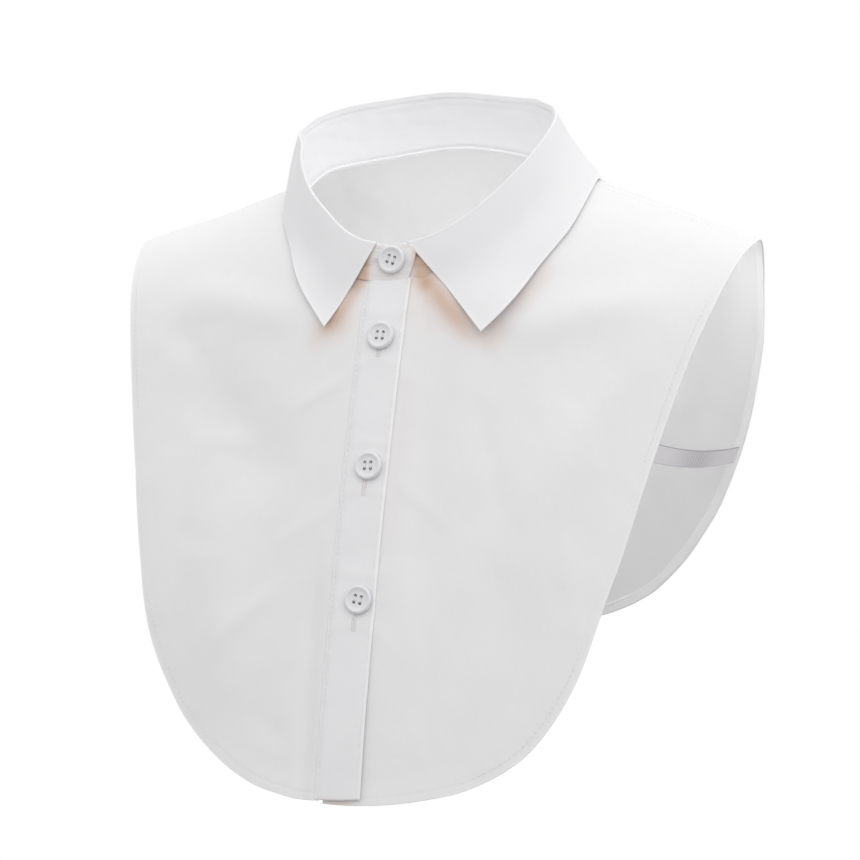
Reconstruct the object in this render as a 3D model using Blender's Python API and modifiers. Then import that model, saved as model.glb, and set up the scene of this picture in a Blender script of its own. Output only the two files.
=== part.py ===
"""A detachable shirt collar: a pointed collar on a stand, sewn to a short front and back with open sides.

The cloth keeps the form it has when worn. +X is the wearer's left, -Y the front and +Z up. The origin is
the middle of the neck, level with the neck ends of the shoulder seams. Sizes are in millimetres, and every
mesh is scaled by MM as it is made.
"""

import math

import bmesh
import bpy
import numpy as np
from mathutils import Matrix, Vector

MM = 0.001

# The figure's form. A section runs from front to back over the shoulder, and its slope turns from
# SLOPE_AT_SEAM to SLOPE_BELOW degrees within TURN_CENTRE of cloth at the middle, TURN_TIP at the shoulder tip.
SHOULDER_TIP = 166.5
SEAM_BACK = 18.5
SEAM_TOP = 15.0
SHOULDER_SLOPE = 0.36
SHOULDER_ROUNDING = 30.0
SLOPE_AT_SEAM = {"front": 18.5, "back": -10.0}
SLOPE_BELOW = {"front": 72.8, "back": 98.5}
TURN_CENTRE = {"front": 147.0, "back": 171.0}
TURN_TIP = {"front": 98.0, "back": 65.0}
FRONT_STEEPENS = 5.9
SECTION_STEPS = 32

# The cut edge of each panel, from the shoulder tip round to the middle of the hem. The second column is the
# length of cloth below the shoulder seam.
FRONT_EDGE = (
    # half width, below the seam
    (166.5, 0.0),
    (158.5, 45.0),
    (146.5, 95.0),
    (134.5, 150.0),
    (123.0, 205.0),
    (110.0, 255.0),
    (87.0, 300.0),
    (58.0, 332.0),
    (0.0, 354.5),
)
BACK_EDGE = (
    # half width, below the seam
    (166.5, 0.0),
    (160.5, 35.0),
    (159.0, 75.0),
    (152.0, 120.0),
    (139.0, 165.0),
    (121.0, 205.0),
    (98.0, 240.0),
    (55.0, 277.0),
    (0.0, 294.0),
)
FRONT_WIDER = (
    # length below the seam, how much wider the left front is there, and the right front
    (0.0, 0.0, 0.0),
    (45.0, 0.0, -1.8),
    (110.0, 0.1, -0.7),
    (190.0, 0.4, -0.9),
    (245.0, 0.0, -1.1),
    (259.0, 0.9, -1.8),
    (274.0, 1.7, -2.8),
    (289.0, 2.4, -3.5),
    (304.0, 3.0, -4.2),
    (315.0, 2.2, -4.8),
    (324.0, 1.0, -5.1),
    (333.0, 0.1, -4.7),
    (340.0, -0.8, -3.5),
    (347.0, -0.9, -3.0),
    (354.5, 0.0, 0.0),
)
RIGHT_HEM_SHORTER = ((10.5, 1.3), (24.0, 0.0))

# How many rows and columns of points each panel has. The back's columns are those of one half.
PANEL_ROWS = 14
LEFT_COLUMNS = 34
RIGHT_COLUMNS = 32
BACK_COLUMNS = 25

# Soft folds of the worn cloth: each is a ridge (or a trough, where its height is negative) along a line.
FOLDS = (
    # x and length below the seam at each end (negative: on the back), half width, height
    (62.0, 112.0, 132.0, 62.0, 11.0, 2.4),
    (96.0, 128.0, 84.0, 236.0, 17.0, 2.2),
    (26.0, 118.0, 34.0, 250.0, 13.0, -2.0),
    (-44.0, 112.0, -122.0, 66.0, 11.0, 2.0),
    (-104.0, 118.0, -44.0, 196.0, 15.0, -2.6),
    (-88.0, 190.0, -62.0, 290.0, 17.0, 2.4),
    (-118.0, 150.0, -112.0, 250.0, 12.0, 1.6),
    (-74.0, -6.0, -142.0, -6.0, 34.0, -2.1),
    (40.0, -70.0, 104.0, -140.0, 17.0, 2.2),
    (-30.0, -76.0, -96.0, -150.0, 17.0, 2.4),
    (4.0, -110.0, -10.0, -260.0, 20.0, -2.4),
    (112.0, -150.0, 84.0, -236.0, 14.0, 1.8),
)

# Walls, and the gap that parts two pieces at a seam.
PANEL_WALL = 1.2
STAND_WALL = 1.2
LEAF_WALL = 1.3
PLACKET_WALL = 1.0
GAP = 0.35
SHOULDER_GAP = 0.7

# The neckline seen from above, and the stand on it.
NECK_HALF_WIDTH = 65.5
NECK_FRONT = 50.5
NECK_BACK = 47.5
NECK_BACK_SQUARENESS = 2.3
SHOULDER_ANGLE = 180 - math.degrees(math.acos((SEAM_BACK / NECK_BACK) ** (NECK_BACK_SQUARENESS / 2)))
STAND_HEIGHT = (16.1, 27.4, 26.8)
STAND_LEAN = (10.0, 1.0, 5.0)
STAND_SWAY = -6.0
STAND_SWAY_ANGLES = (92.0, 132.0, 262.0, 281.0)
STAND_HELD_AT = 142.0
STAND_HELD_WIDTH = 14.0
STAND_DIP = 3.2
STAND_DIP_AT = 254.0
STAND_DIP_WIDTH = 24.0
TAB_END = (
    # share of the stand's height, how far the tab reaches past the middle
    (0.0, 11.0),
    (0.35, 13.2),
    (0.7, 13.6),
    (0.88, 10.8),
    (1.0, 7.4),
)
TAB_LIFT = 1.55
TAB_LIFT_FROM = 300.0
TAB_LIFT_TO = 345.0
SETBACK_FRONT = 0.25
SETBACK_MORE = 1.25

# The leaf: it rolls over the top of the stand and falls to its outer edge, which lies on the panels.
# Where three sizes are given, they are those at the front, side and back of the neck.
LEAF_ROLL = (1.2, 1.0, 1.0)
LEAF_ROLL_END = 30.0
LEAF_ROLL_ROWS = 5
LEAF_FALL_ROWS = 7
LEAF_START_LEFT = 9.8
LEAF_START_RIGHT = 6.4
LEAF_COLUMNS = 57
LEAF_ABOVE_STAND = 0.85
LEAF_CLEAR = (4.6, 3.6, 3.0)
LEAF_BULGE = (0.2, 0.0, 0.6)
LEAF_BOW_AT = 0.45
LEAF_BOW_UP = 0.35
LEAF_SHIFT = 9.4
RIGHT_LEAF_TURN = 3.3
LEAF_EDGE = (
    # angle round the fold from the front, half width, length from the shoulder seam (negative: on the back)
    (3.0, 38.9, 121.0),
    (30.0, 54.5, 96.0),
    (52.0, 65.5, 73.0),
    (72.0, 76.2, 47.0),
    (88.0, 79.6, 27.0),
    (104.0, 80.0, 6.0),
    (126.0, 76.0, -17.0),
    (152.0, 46.0, -36.0),
    (180.0, 0.0, -44.0),
)

# The front closure.
PLACKET_RIGHT = -10.5
PLACKET_LEFT = 12.5
EXTENSION = 7.0
PLACKET_OUT = 1.55
PLACKET_TOP_GAP = 1.5
PLACKET_ROWS = 30
PLACKET_SHORTER = (1.4, 2.8)
BUTTON_X = 1.5
BUTTON_ARCS = (130.0, 194.0, 258.0)
BUTTON_GAP = 0.5
TAB_BUTTON_X = 2.5
TAB_BUTTON_HEIGHT = 9.5
BUTTON_PROFILE = (
    # radius, height
    (0.0, 1.45),
    (3.2, 1.45),
    (4.1, 1.9),
    (4.8, 2.35),
    (5.5, 2.55),
    (6.2, 2.3),
    (6.8, 1.6),
    (6.65, 0.7),
    (5.7, 0.0),
    (0.0, 0.0),
)
BUTTON_STEPS = 24
HOLE_RADIUS = 0.85
HOLE_OFFSET = 1.55

# The elastics under the arms.
ELASTIC_WIDTH = 10.0
ELASTIC_WALL = 1.0
ELASTIC_FRONT = (133.0, 138.0)
ELASTIC_BACK = (147.0, 137.5)
ELASTIC_SLANT_FRONT = 0.2
ELASTIC_SLANT_BACK = 0.3
ELASTIC_SAG = 3.0


# ---- the figure's form ----

def of_half(front, values):
    """The front's value where front is true, the back's elsewhere."""
    return np.where(front, values["front"], values["back"])


def through(knots, values, at):
    """A smooth curve through the values at their knots (cubic Hermite, slopes from the neighbours)."""
    knots, values, at = (np.asarray(v, float) for v in (knots, values, at))
    slopes = np.gradient(values, knots)
    k = np.clip(np.searchsorted(knots, at) - 1, 0, len(knots) - 2)
    step = knots[k + 1] - knots[k]
    t = (at - knots[k]) / step
    return (
        values[k] * (1 + 2 * t) * (1 - t) ** 2
        + values[k + 1] * t**2 * (3 - 2 * t)
        + step * (slopes[k] * t * (1 - t) ** 2 - slopes[k + 1] * t**2 * (1 - t))
    )


def eased(value, low, high):
    """0 below low, 1 above high, and a smooth step between."""
    t = np.clip((np.asarray(value, float) - low) / (high - low), 0, 1)
    return t * t * (3 - 2 * t)


def section(x, arc):
    """How far forward and how far down the section at x is, at this length from the seam (behind: negative)."""
    front = arc >= 0
    at_centre = of_half(front, TURN_CENTRE)
    turn = at_centre + (of_half(front, TURN_TIP) - at_centre) * (x / SHOULDER_TIP) ** 2
    steps = (np.arange(SECTION_STEPS) + 0.5) / SECTION_STEPS
    along = np.abs(arc)[..., None] * steps / turn[..., None]
    turned = np.sin(0.5 * np.pi * np.clip(along, 0, 1))
    later = np.where(front, FRONT_STEEPENS, 0.0)[..., None] * np.clip(along - 1, 0, None)
    start = of_half(front, SLOPE_AT_SEAM)[..., None]
    below = of_half(front, SLOPE_BELOW)[..., None]
    slope = np.radians(start + (below - start) * turned + later)
    return np.cos(slope).mean(-1) * arc, np.sin(slope).mean(-1) * np.abs(arc)


def fold_height(x, arc):
    """The height of the soft folds: each falls off across its line and fades at its ends."""
    height = np.zeros_like(x)
    for x0, arc0, x1, arc1, width, rise in FOLDS:
        along_x, along_arc = x1 - x0, arc1 - arc0
        length = math.hypot(along_x, along_arc)
        t = ((x - x0) * along_x + (arc - arc0) * along_arc) / length**2
        across = ((x - x0) * along_arc - (arc - arc0) * along_x) / length
        height += rise * np.exp(-((across / width) ** 2)) * np.exp(-((2 * t - 1) ** 4))
    return height


def plain_form(x, arc):
    x, arc = np.broadcast_arrays(np.asarray(x, float), np.asarray(arc, float))
    forward, down = section(x, arc)
    run = np.sqrt(x**2 + SHOULDER_ROUNDING**2) - SHOULDER_ROUNDING
    return np.stack([x, SEAM_BACK - forward, SEAM_TOP - SHOULDER_SLOPE * run - down], -1)


def form_normal(x, arc):
    """The outward normal of the plain form, from its slopes."""
    step = 0.5
    x, arc = np.broadcast_arrays(np.asarray(x, float), np.asarray(arc, float))
    across = plain_form(x + step, arc) - plain_form(x - step, arc)
    along = plain_form(x, arc + step) - plain_form(x, arc - step)
    normal = np.cross(along, across)
    return normal / np.linalg.norm(normal, axis=-1, keepdims=True)


def form(x, arc, out=0.0):
    """Points of the worn cloth, moved out along the form's normal by its folds and by out."""
    x, arc = np.broadcast_arrays(np.asarray(x, float), np.asarray(arc, float))
    lift = fold_height(x, arc) + out
    return plain_form(x, arc) + form_normal(x, arc) * np.asarray(lift)[..., None]


# ---- the neckline ----

def neck_plan(angle, out):
    """x and y of the neckline seen from above: half an ellipse at the front (0 degrees, turning to +X), and
    half a squarer one at the back."""
    turn = np.radians(angle)
    front = np.cos(turn) > 0
    depth = np.where(front, NECK_FRONT, NECK_BACK)
    power = np.where(front, 1.0, 2 / NECK_BACK_SQUARENESS)
    across = np.sign(np.sin(turn)) * np.abs(np.sin(turn)) ** power
    along = np.sign(np.cos(turn)) * np.abs(np.cos(turn)) ** power
    return (NECK_HALF_WIDTH + out) * across, -(depth + out) * along


def arc_at(x, y):
    """The length from the seam at which the plain form reaches y, by halving."""
    forward = SEAM_BACK - y
    low, high = np.zeros_like(x), np.full_like(x, 420.0)
    for _ in range(24):
        middle = (low + high) / 2
        reach = np.abs(section(x, np.where(forward >= 0, middle, -middle))[0])
        low, high = np.where(reach < np.abs(forward), middle, low), np.where(reach < np.abs(forward), high, middle)
    return np.where(forward >= 0, middle, -middle)


def neck_point(angle, out=0.0):
    """(x, arc) of the neckline, or of a line out from it."""
    x, y = neck_plan(angle, out)
    return x, arc_at(x, y)


def setback(angle):
    """How far the panels stop from the stand: little at the front, where the stand carries on their slope."""
    return SETBACK_FRONT + SETBACK_MORE * np.abs(np.sin(np.radians(angle) / 2)) ** 1.2


def front_to_back(angle, values):
    """A value that has the three given sizes at the front, side and back of the neck."""
    k = (1 - np.cos(np.radians(angle))) / 2
    front, side, back = values
    return front * (1 - k) * (1 - 2 * k) + side * 4 * k * (1 - k) + back * k * (2 * k - 1)


def neck_normal(angle):
    """The neckline's outward normal, level, from the way that it runs."""
    before = np.stack(neck_plan(angle - 1.0, 0.0), -1)
    after = np.stack(neck_plan(angle + 1.0, 0.0), -1)
    run = after - before
    normal = np.stack([run[..., 1], -run[..., 0], np.zeros_like(run[..., 0])], -1)
    return normal / np.linalg.norm(normal, axis=-1, keepdims=True)


def stand_height(angle):
    """The stand's height round the neck, a little less behind the wearer's right shoulder."""
    dip = STAND_DIP * np.exp(-(((angle - STAND_DIP_AT) / STAND_DIP_WIDTH) ** 2))
    return front_to_back(angle, STAND_HEIGHT) - dip


def stand_sway(angle):
    """How far the stand's top sways to the wearer's right: fully behind the neck, not at all in front, nor at
    the back of the left shoulder."""
    first, full, fading, last = STAND_SWAY_ANGLES
    held = np.exp(-(((angle - STAND_HELD_AT) / STAND_HELD_WIDTH) ** 2))
    return STAND_SWAY * eased(angle, first, full) * (1 - eased(angle, fading, last)) * (1 - held)


def stand_at(angle, height):
    """Points of the stand's wall, at a share of its height. Its right end lies over its left end."""
    angle, height = np.broadcast_arrays(np.asarray(angle, float), np.asarray(height, float))
    base = plain_form(*neck_point(angle))
    lift = TAB_LIFT * eased(angle, TAB_LIFT_FROM, TAB_LIFT_TO)
    rise = stand_height(angle) * height
    lean = np.radians(front_to_back(angle, STAND_LEAN))
    out = neck_normal(angle) * (lift - np.sin(lean) * rise)[..., None]
    return base + out + np.stack([stand_sway(angle) * height, 0 * rise, np.cos(lean) * rise], -1)


# ---- the panels ----

def evenly(points, count):
    """The polyline's points, moved to equal steps along it."""
    steps = np.linalg.norm(np.diff(points, axis=0), axis=1)
    along = np.concatenate([[0.0], np.cumsum(steps)])
    at = np.linspace(0, along[-1], count)
    return np.stack([np.interp(at, along, points[:, k]) for k in range(2)], -1)


def cut_edge(rows, start_x):
    """(x, arc) along a panel's cut edge, from the hem at start_x round to the shoulder tip."""
    points = np.array(rows)[::-1]
    mirrored = np.array([[-points[1, 0], points[1, 1]]])
    points = np.concatenate([mirrored, points])
    knots = np.concatenate([[0.0], np.cumsum(np.linalg.norm(np.diff(points, axis=0), axis=1))])
    fine = np.linspace(0, knots[-1], 800)
    edge = np.stack([through(knots, points[:, k], fine) for k in range(2)], -1)
    first = np.array([[start_x, np.interp(start_x, edge[:, 0], edge[:, 1])]])
    return np.concatenate([first, edge[edge[:, 0] > start_x + 0.5 * (edge[:, 0] > 0)]])


def fan(inner, outer):
    """(x, arc) between the neckline and the cut edge: straight lines from each point of one to the other."""
    share = np.linspace(0, 1, PANEL_ROWS)[:, None, None]
    return inner[None] * (1 - share) + outer[None] * share


def front_cut(start_x, end_arc, side):
    """The cut edge of a front, which is 1 for the left and 2 for the right, laid out as a left one."""
    edge = cut_edge(FRONT_EDGE, start_x)
    table = np.array(FRONT_WIDER)
    shorter = np.interp(edge[:, 0], *np.array(RIGHT_HEM_SHORTER).T) * (side == 2)
    wide = edge[:, 0] + through(table[:, 0], table[:, side], edge[:, 1])
    return np.stack([np.maximum(wide, start_x), np.maximum(edge[:, 1] - shorter, end_arc)], -1)


def front_grid(start_x, end_arc, columns, side):
    """A front, laid out as a left one: from the line x = start_x to the shoulder seam."""
    first = math.degrees(math.asin(start_x / (NECK_HALF_WIDTH + SETBACK_FRONT)))
    angles = np.linspace(first, SHOULDER_ANGLE + 2, 240)
    x, arc = neck_point(angles, setback(angles))
    x, arc = x[arc > end_arc], arc[arc > end_arc]
    inner = np.stack([np.append(x, x[-1]), np.append(arc, end_arc)], -1)
    inner[0, 0] = start_x
    return fan(evenly(inner, columns), evenly(front_cut(start_x, end_arc, side), columns))


def back_grid(end_arc):
    """The back: from the left shoulder seam, round the hem, to the right one."""
    angles = np.linspace(SHOULDER_ANGLE - 2, 180.0, 160)
    x, arc = neck_point(angles, setback(angles))
    x, arc = x[-arc > end_arc], -arc[-arc > end_arc]
    half = np.stack([np.append(x[0], x), np.append(end_arc, arc)], -1)
    inner = evenly(half, BACK_COLUMNS)
    edge = cut_edge(BACK_EDGE, 0.0)[::-1]
    edge[:, 1] = np.maximum(edge[:, 1], end_arc)
    outer = evenly(edge, BACK_COLUMNS)
    grid = fan(inner, outer)
    mirrored = grid[:, -2::-1] * [-1, 1]
    whole = np.concatenate([grid, mirrored], axis=1)
    return whole * [1, -1]


# ---- meshes, objects and materials ----

def material(name, colour, roughness, sheen=0.0, coat=0.0):
    made = bpy.data.materials.new(name)
    made.use_nodes = True
    shader = made.node_tree.nodes["Principled BSDF"]
    shader.inputs["Base Color"].default_value = (*colour, 1)
    shader.inputs["Roughness"].default_value = roughness
    shader.inputs["Metallic"].default_value = 0.0
    shader.inputs["Sheen Weight"].default_value = sheen
    shader.inputs["Coat Weight"].default_value = coat
    made.diffuse_color = (*colour, 1)
    return made


def grid_mesh(name, points):
    """A mesh of quads through a grid of points."""
    rows, columns = points.shape[:2]
    index = np.arange(rows * columns).reshape(rows, columns)
    quads = np.stack([index[:-1, :-1], index[:-1, 1:], index[1:, 1:], index[1:, :-1]], -1).reshape(-1, 4)
    mesh = bpy.data.meshes.new(name)
    mesh.from_pydata((points.reshape(-1, 3) * MM).tolist(), [], quads.tolist())
    mesh.shade_smooth()
    return mesh


def cloth(collection, name, points, wall, finish):
    """An open surface with its wall put half on each side of it."""
    piece = bpy.data.objects.new(name, grid_mesh(name, points))
    piece.data.materials.append(finish)
    collection.objects.link(piece)
    thickness = piece.modifiers.new("wall", "SOLIDIFY")
    thickness.thickness = wall * MM
    thickness.offset = 0.0
    return piece


def new_collection(name):
    made = bpy.data.collections.new(name)
    bpy.context.scene.collection.children.link(made)
    return made


# ---- the pieces ----

def add_panels(collection, finish):
    half_gap = SHOULDER_GAP / 2
    left = front_grid(-EXTENSION, half_gap, LEFT_COLUMNS, 1)
    cloth(collection, "front_left", form(left[..., 0], left[..., 1]), PANEL_WALL, finish)
    right = front_grid(-PLACKET_RIGHT + GAP, half_gap, RIGHT_COLUMNS, 2)
    cloth(collection, "front_right", form(-right[..., 0], right[..., 1]), PANEL_WALL, finish)
    back = back_grid(half_gap)
    cloth(collection, "back", form(back[..., 0], back[..., 1]), PANEL_WALL, finish)


def add_placket(collection, finish):
    """The buttonhole band: it carries on the right front, and lies over the left one."""
    x = np.linspace(PLACKET_RIGHT, PLACKET_LEFT, 4)
    edge = cut_edge(FRONT_EDGE, PLACKET_RIGHT)
    bottom = np.interp(x, edge[:, 0], edge[:, 1]) - np.linspace(*PLACKET_SHORTER, len(x))
    top = neck_point(np.degrees(np.arcsin(x / NECK_HALF_WIDTH)))[1] + PLACKET_TOP_GAP
    share = np.linspace(0, 1, PLACKET_ROWS)[:, None]
    arc = top * (1 - share) + bottom * share
    cloth(collection, "placket", form(x, arc, PLACKET_OUT), PLACKET_WALL, finish)


def leaf_angles():
    """Where the leaf's columns meet the stand, from one front end of the fold to the other."""
    left = math.degrees(math.asin(LEAF_START_LEFT / NECK_HALF_WIDTH))
    right = math.degrees(math.asin(LEAF_START_RIGHT / NECK_HALF_WIDTH))
    return np.linspace(left, 360 - right, LEAF_COLUMNS)


def add_stand(collection, finish):
    """The stand, from its left end under the tab, round the neck, to the tab's rounded end."""
    heights, reach = np.array(TAB_END).T
    leaf = leaf_angles()
    left_end = np.linspace(-leaf[0], leaf[0], 4)[:-1]
    angles = np.tile(np.concatenate([left_end, leaf]), (len(heights), 1))
    tab = 360 + np.degrees(np.arcsin(reach / NECK_HALF_WIDTH))
    right_end = np.linspace(leaf[-1], tab, 5)[1:].T
    points = stand_at(np.concatenate([angles, right_end], axis=1), heights[:, None])
    cloth(collection, "collar_stand", points, STAND_WALL, finish)


def leaf_edge(angles):
    """(x, arc) of the leaf's outer edge. The two points hang a little to the left, the right one lower."""
    table = np.array(LEAF_EDGE)
    front_share = (1 + np.cos(np.radians(angles))) / 2
    right = angles > 180
    folded = np.where(right, 360 - angles - RIGHT_LEAF_TURN * front_share, angles)
    side = np.where(right, -1.0, 1.0)
    x = side * through(table[:, 0], table[:, 1], folded) + LEAF_SHIFT * front_share
    return x, through(table[:, 0], table[:, 2], folded)


def leaf_rows(angles):
    """The leaf's points: a roll over the top of the stand, then a bowed fall to its outer edge."""
    top = stand_at(angles, 1.0)
    out = neck_normal(angles)
    up = np.array([0.0, 0.0, 1.0])
    start = top + up * LEAF_ABOVE_STAND
    rows = []
    roll = front_to_back(angles, LEAF_ROLL)[:, None]
    for turn in np.radians(np.linspace(180, LEAF_ROLL_END, LEAF_ROLL_ROWS)):
        rows.append(start + out * roll * (1 + math.cos(turn)) + up * roll * math.sin(turn))
    fold = rows[-1]
    edge = form(*leaf_edge(angles), front_to_back(angles, LEAF_CLEAR))
    bulge = (out + up * LEAF_BOW_UP) * 2 * front_to_back(angles, LEAF_BULGE)[:, None]
    bow = fold * (1 - LEAF_BOW_AT) + edge * LEAF_BOW_AT + bulge
    for t in np.linspace(0, 1, LEAF_FALL_ROWS + 1)[1:]:
        rows.append(fold * (1 - t) ** 2 + bow * 2 * t * (1 - t) + edge * t**2)
    return np.array(rows)


def add_leaf(collection, finish):
    cloth(collection, "collar_leaf", leaf_rows(leaf_angles()), LEAF_WALL, finish)


def add_elastics(collection, finish):
    """A band from just inside the front's edge to just inside the back's, sagging a little between them."""
    half = ELASTIC_WIDTH / 2
    inside = -(PANEL_WALL + ELASTIC_WALL) / 2 - GAP
    across = np.linspace(-half, half, 4)
    front = form(ELASTIC_FRONT[0] - across * ELASTIC_SLANT_FRONT, ELASTIC_FRONT[1] + across, inside)
    back = form(ELASTIC_BACK[0] - across * ELASTIC_SLANT_BACK, -ELASTIC_BACK[1] - across, inside)
    along = np.linspace(0, 1, 15)[:, None, None]
    sag = np.array([0.0, 0.0, -ELASTIC_SAG]) * 4 * along * (1 - along)
    points = front[None] * (1 - along) + back[None] * along + sag
    cloth(collection, "elastic_left", points, ELASTIC_WALL, finish)
    cloth(collection, "elastic_right", points * [-1, 1, 1], ELASTIC_WALL, finish)


def button_mesh():
    """A turned button with a raised rim and four holes."""
    profile = bpy.data.meshes.new("button_profile")
    corners = [(radius * MM, 0, height * MM) for radius, height in BUTTON_PROFILE]
    profile.from_pydata(corners, [(k, k + 1) for k in range(len(corners) - 1)], [])
    blank = bpy.data.objects.new("button_blank", profile)
    turned = blank.modifiers.new("turned", "SCREW")
    turned.axis = "Z"
    turned.steps = turned.render_steps = BUTTON_STEPS
    turned.use_merge_vertices = True
    turned.merge_threshold = 0.00001
    drills = bmesh.new()
    for dx in (-HOLE_OFFSET, HOLE_OFFSET):
        for dy in (-HOLE_OFFSET, HOLE_OFFSET):
            place = Matrix.Translation((dx * MM, dy * MM, MM))
            radius = HOLE_RADIUS * MM
            bmesh.ops.create_cone(
                drills, cap_ends=True, segments=8, radius1=radius, radius2=radius, depth=5 * MM, matrix=place
            )
    cutter = bpy.data.objects.new("button_drills", bpy.data.meshes.new("button_drills"))
    drills.to_mesh(cutter.data)
    drills.free()
    holes = blank.modifiers.new("holes", "BOOLEAN")
    holes.object = cutter
    for helper in (blank, cutter):
        bpy.context.scene.collection.objects.link(helper)
    evaluated = blank.evaluated_get(bpy.context.evaluated_depsgraph_get())
    mesh = bpy.data.meshes.new_from_object(evaluated)
    for helper in (blank, cutter):
        bpy.data.objects.remove(helper)
    mesh.name = "button"
    mesh.shade_smooth()
    mesh.set_sharp_from_angle(angle=math.radians(40))
    return mesh


def add_button(collection, name, mesh, place, normal):
    """A button with its flat back at place, facing along normal."""
    piece = bpy.data.objects.new(name, mesh)
    turn = Vector(normal).to_track_quat("Z", "Y")
    piece.rotation_mode = "QUATERNION"
    piece.rotation_quaternion = turn
    piece.location = Vector(place) * MM
    collection.objects.link(piece)


def add_buttons(collection, finish):
    mesh = button_mesh()
    mesh.materials.append(finish)
    foot = stand_at(360.0, 0.0)
    head = stand_at(360.0, 1.0)
    up = (head - foot) / np.linalg.norm(head - foot)
    normal = np.cross(up, [1.0, 0.0, 0.0])
    normal *= -np.sign(normal[1])
    place = foot + up * TAB_BUTTON_HEIGHT + normal * (STAND_WALL / 2 + BUTTON_GAP) + [TAB_BUTTON_X, 0.0, 0.0]
    add_button(collection, "button_1", mesh, place, normal)
    for number, arc in enumerate(BUTTON_ARCS, 2):
        x = BUTTON_X * (number - 1)
        out = PLACKET_OUT + PLACKET_WALL / 2 + BUTTON_GAP
        add_button(collection, f"button_{number}", mesh, form(x, arc, out), form_normal(x, arc))


def main():
    for obj in list(bpy.data.objects):
        bpy.data.objects.remove(obj)
    collection = new_collection("detachable_shirt_collar")
    shirting = material("shirting", (0.86, 0.86, 0.87), 0.85, sheen=0.2)
    pearl = material("pearl_button", (0.82, 0.82, 0.84), 0.28, coat=0.4)
    elastic = material("elastic", (0.8, 0.8, 0.81), 0.8)
    add_panels(collection, shirting)
    add_placket(collection, shirting)
    add_stand(collection, shirting)
    add_leaf(collection, shirting)
    add_elastics(collection, elastic)
    add_buttons(collection, pearl)


main()
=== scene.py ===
import math

import bpy
import numpy as np
from mathutils import Matrix, Vector


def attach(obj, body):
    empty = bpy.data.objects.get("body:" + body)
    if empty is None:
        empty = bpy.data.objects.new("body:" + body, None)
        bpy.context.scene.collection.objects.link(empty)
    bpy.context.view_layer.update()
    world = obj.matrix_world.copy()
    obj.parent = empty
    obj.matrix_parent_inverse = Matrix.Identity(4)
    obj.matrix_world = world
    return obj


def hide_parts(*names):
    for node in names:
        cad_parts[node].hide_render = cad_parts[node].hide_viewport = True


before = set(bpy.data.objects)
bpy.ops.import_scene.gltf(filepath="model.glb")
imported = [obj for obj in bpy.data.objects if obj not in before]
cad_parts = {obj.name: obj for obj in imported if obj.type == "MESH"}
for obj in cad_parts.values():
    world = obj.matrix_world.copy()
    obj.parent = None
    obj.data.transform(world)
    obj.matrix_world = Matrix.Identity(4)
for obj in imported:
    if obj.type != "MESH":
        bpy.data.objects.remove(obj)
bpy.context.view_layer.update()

MM = 0.001

# ---- Studio ----
# A white paper floor under a wide soft sky, brightest overhead and a little to the wearer's left. One large
# lamp makes the buttons shine, and three small ones stand for the light that the cloth lets through to its
# inside. The camera stands at chest height to the wearer's left.
LOOKED_AT = (0.0, 18.7, -119.0)
CAMERA_TURN = 22.08
CAMERA_RISE = 2.61
CAMERA_DISTANCE = 1560.0
LENS = 129.3
SHIFT = (-0.0134, -0.0259)
FLOOR_LEVEL = -0.62
FLOOR_HALF_WIDTH = 6.0
SKY_LEVEL = 0.88
SKY_SLOPE = (0.09, 0.06, 0.38)
FLOOR_BOUNCE = 0.33
PAPER_ROUGHNESS = 0.9
LAMP_TURN = 40.0
LAMP_RISE = 30.0
LAMP_DISTANCE = 2000.0
LAMP_SIZE = 1.3
LAMP_WATTS = 2.5
INSIDE_LAMP_SIZE = 0.008
WHITE = (1.0, 1.0, 1.0, 1.0)
SQUARE = np.array([(-1, -1, 0), (1, -1, 0), (1, 1, 0), (-1, 1, 0)])
LAMPS_INSIDE = (
    # x, y, z, watts
    (0.0, 5.0, -75.0, 0.092),
    (138.0, 30.0, -56.0, 0.0095),
    (-138.0, 30.0, -56.0, 0.0095),
)


def towards(turn, rise):
    """The unit vector to a place at this turn from the front and this height, in degrees."""
    a, e = math.radians(turn), math.radians(rise)
    return Vector((math.sin(a) * math.cos(e), -math.cos(a) * math.cos(e), math.sin(e)))


def aimed(data, turn, rise, distance):
    """Puts a camera or a lamp at this turn, rise and distance from the place looked at, facing it."""
    placed = bpy.data.objects.new(data.name, data)
    placed.location = (Vector(LOOKED_AT) + towards(turn, rise) * distance) * MM
    placed.rotation_mode = "QUATERNION"
    placed.rotation_quaternion = towards(turn, rise).to_track_quat("Z", "Y")
    bpy.context.scene.collection.objects.link(placed)
    return placed


def feed(tree, socket, value):
    """Sets a node's socket to a number or a colour, or links another node's output to it."""
    if isinstance(value, bpy.types.NodeSocket):
        tree.links.new(value, socket)
    else:
        socket.default_value = value


def worked_out(tree, operation, *values):
    """The result of a Math node that is fed these values."""
    node = tree.nodes.new("ShaderNodeMath")
    node.operation = operation
    for socket, value in zip(node.inputs, values):
        feed(tree, socket, value)
    return node.outputs[0]


def plain_finish(name, colour, roughness):
    """A material of one colour and roughness, and its shader."""
    made = bpy.data.materials.new(name)
    made.use_nodes = True
    shader = made.node_tree.nodes["Principled BSDF"]
    shader.inputs["Base Color"].default_value = colour
    shader.inputs["Roughness"].default_value = roughness
    return made, shader


lens = bpy.data.cameras.new("camera")
lens.lens = LENS
lens.sensor_width = 36.0
lens.shift_x, lens.shift_y = SHIFT
bpy.context.scene.camera = aimed(lens, CAMERA_TURN, CAMERA_RISE, CAMERA_DISTANCE)

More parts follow.
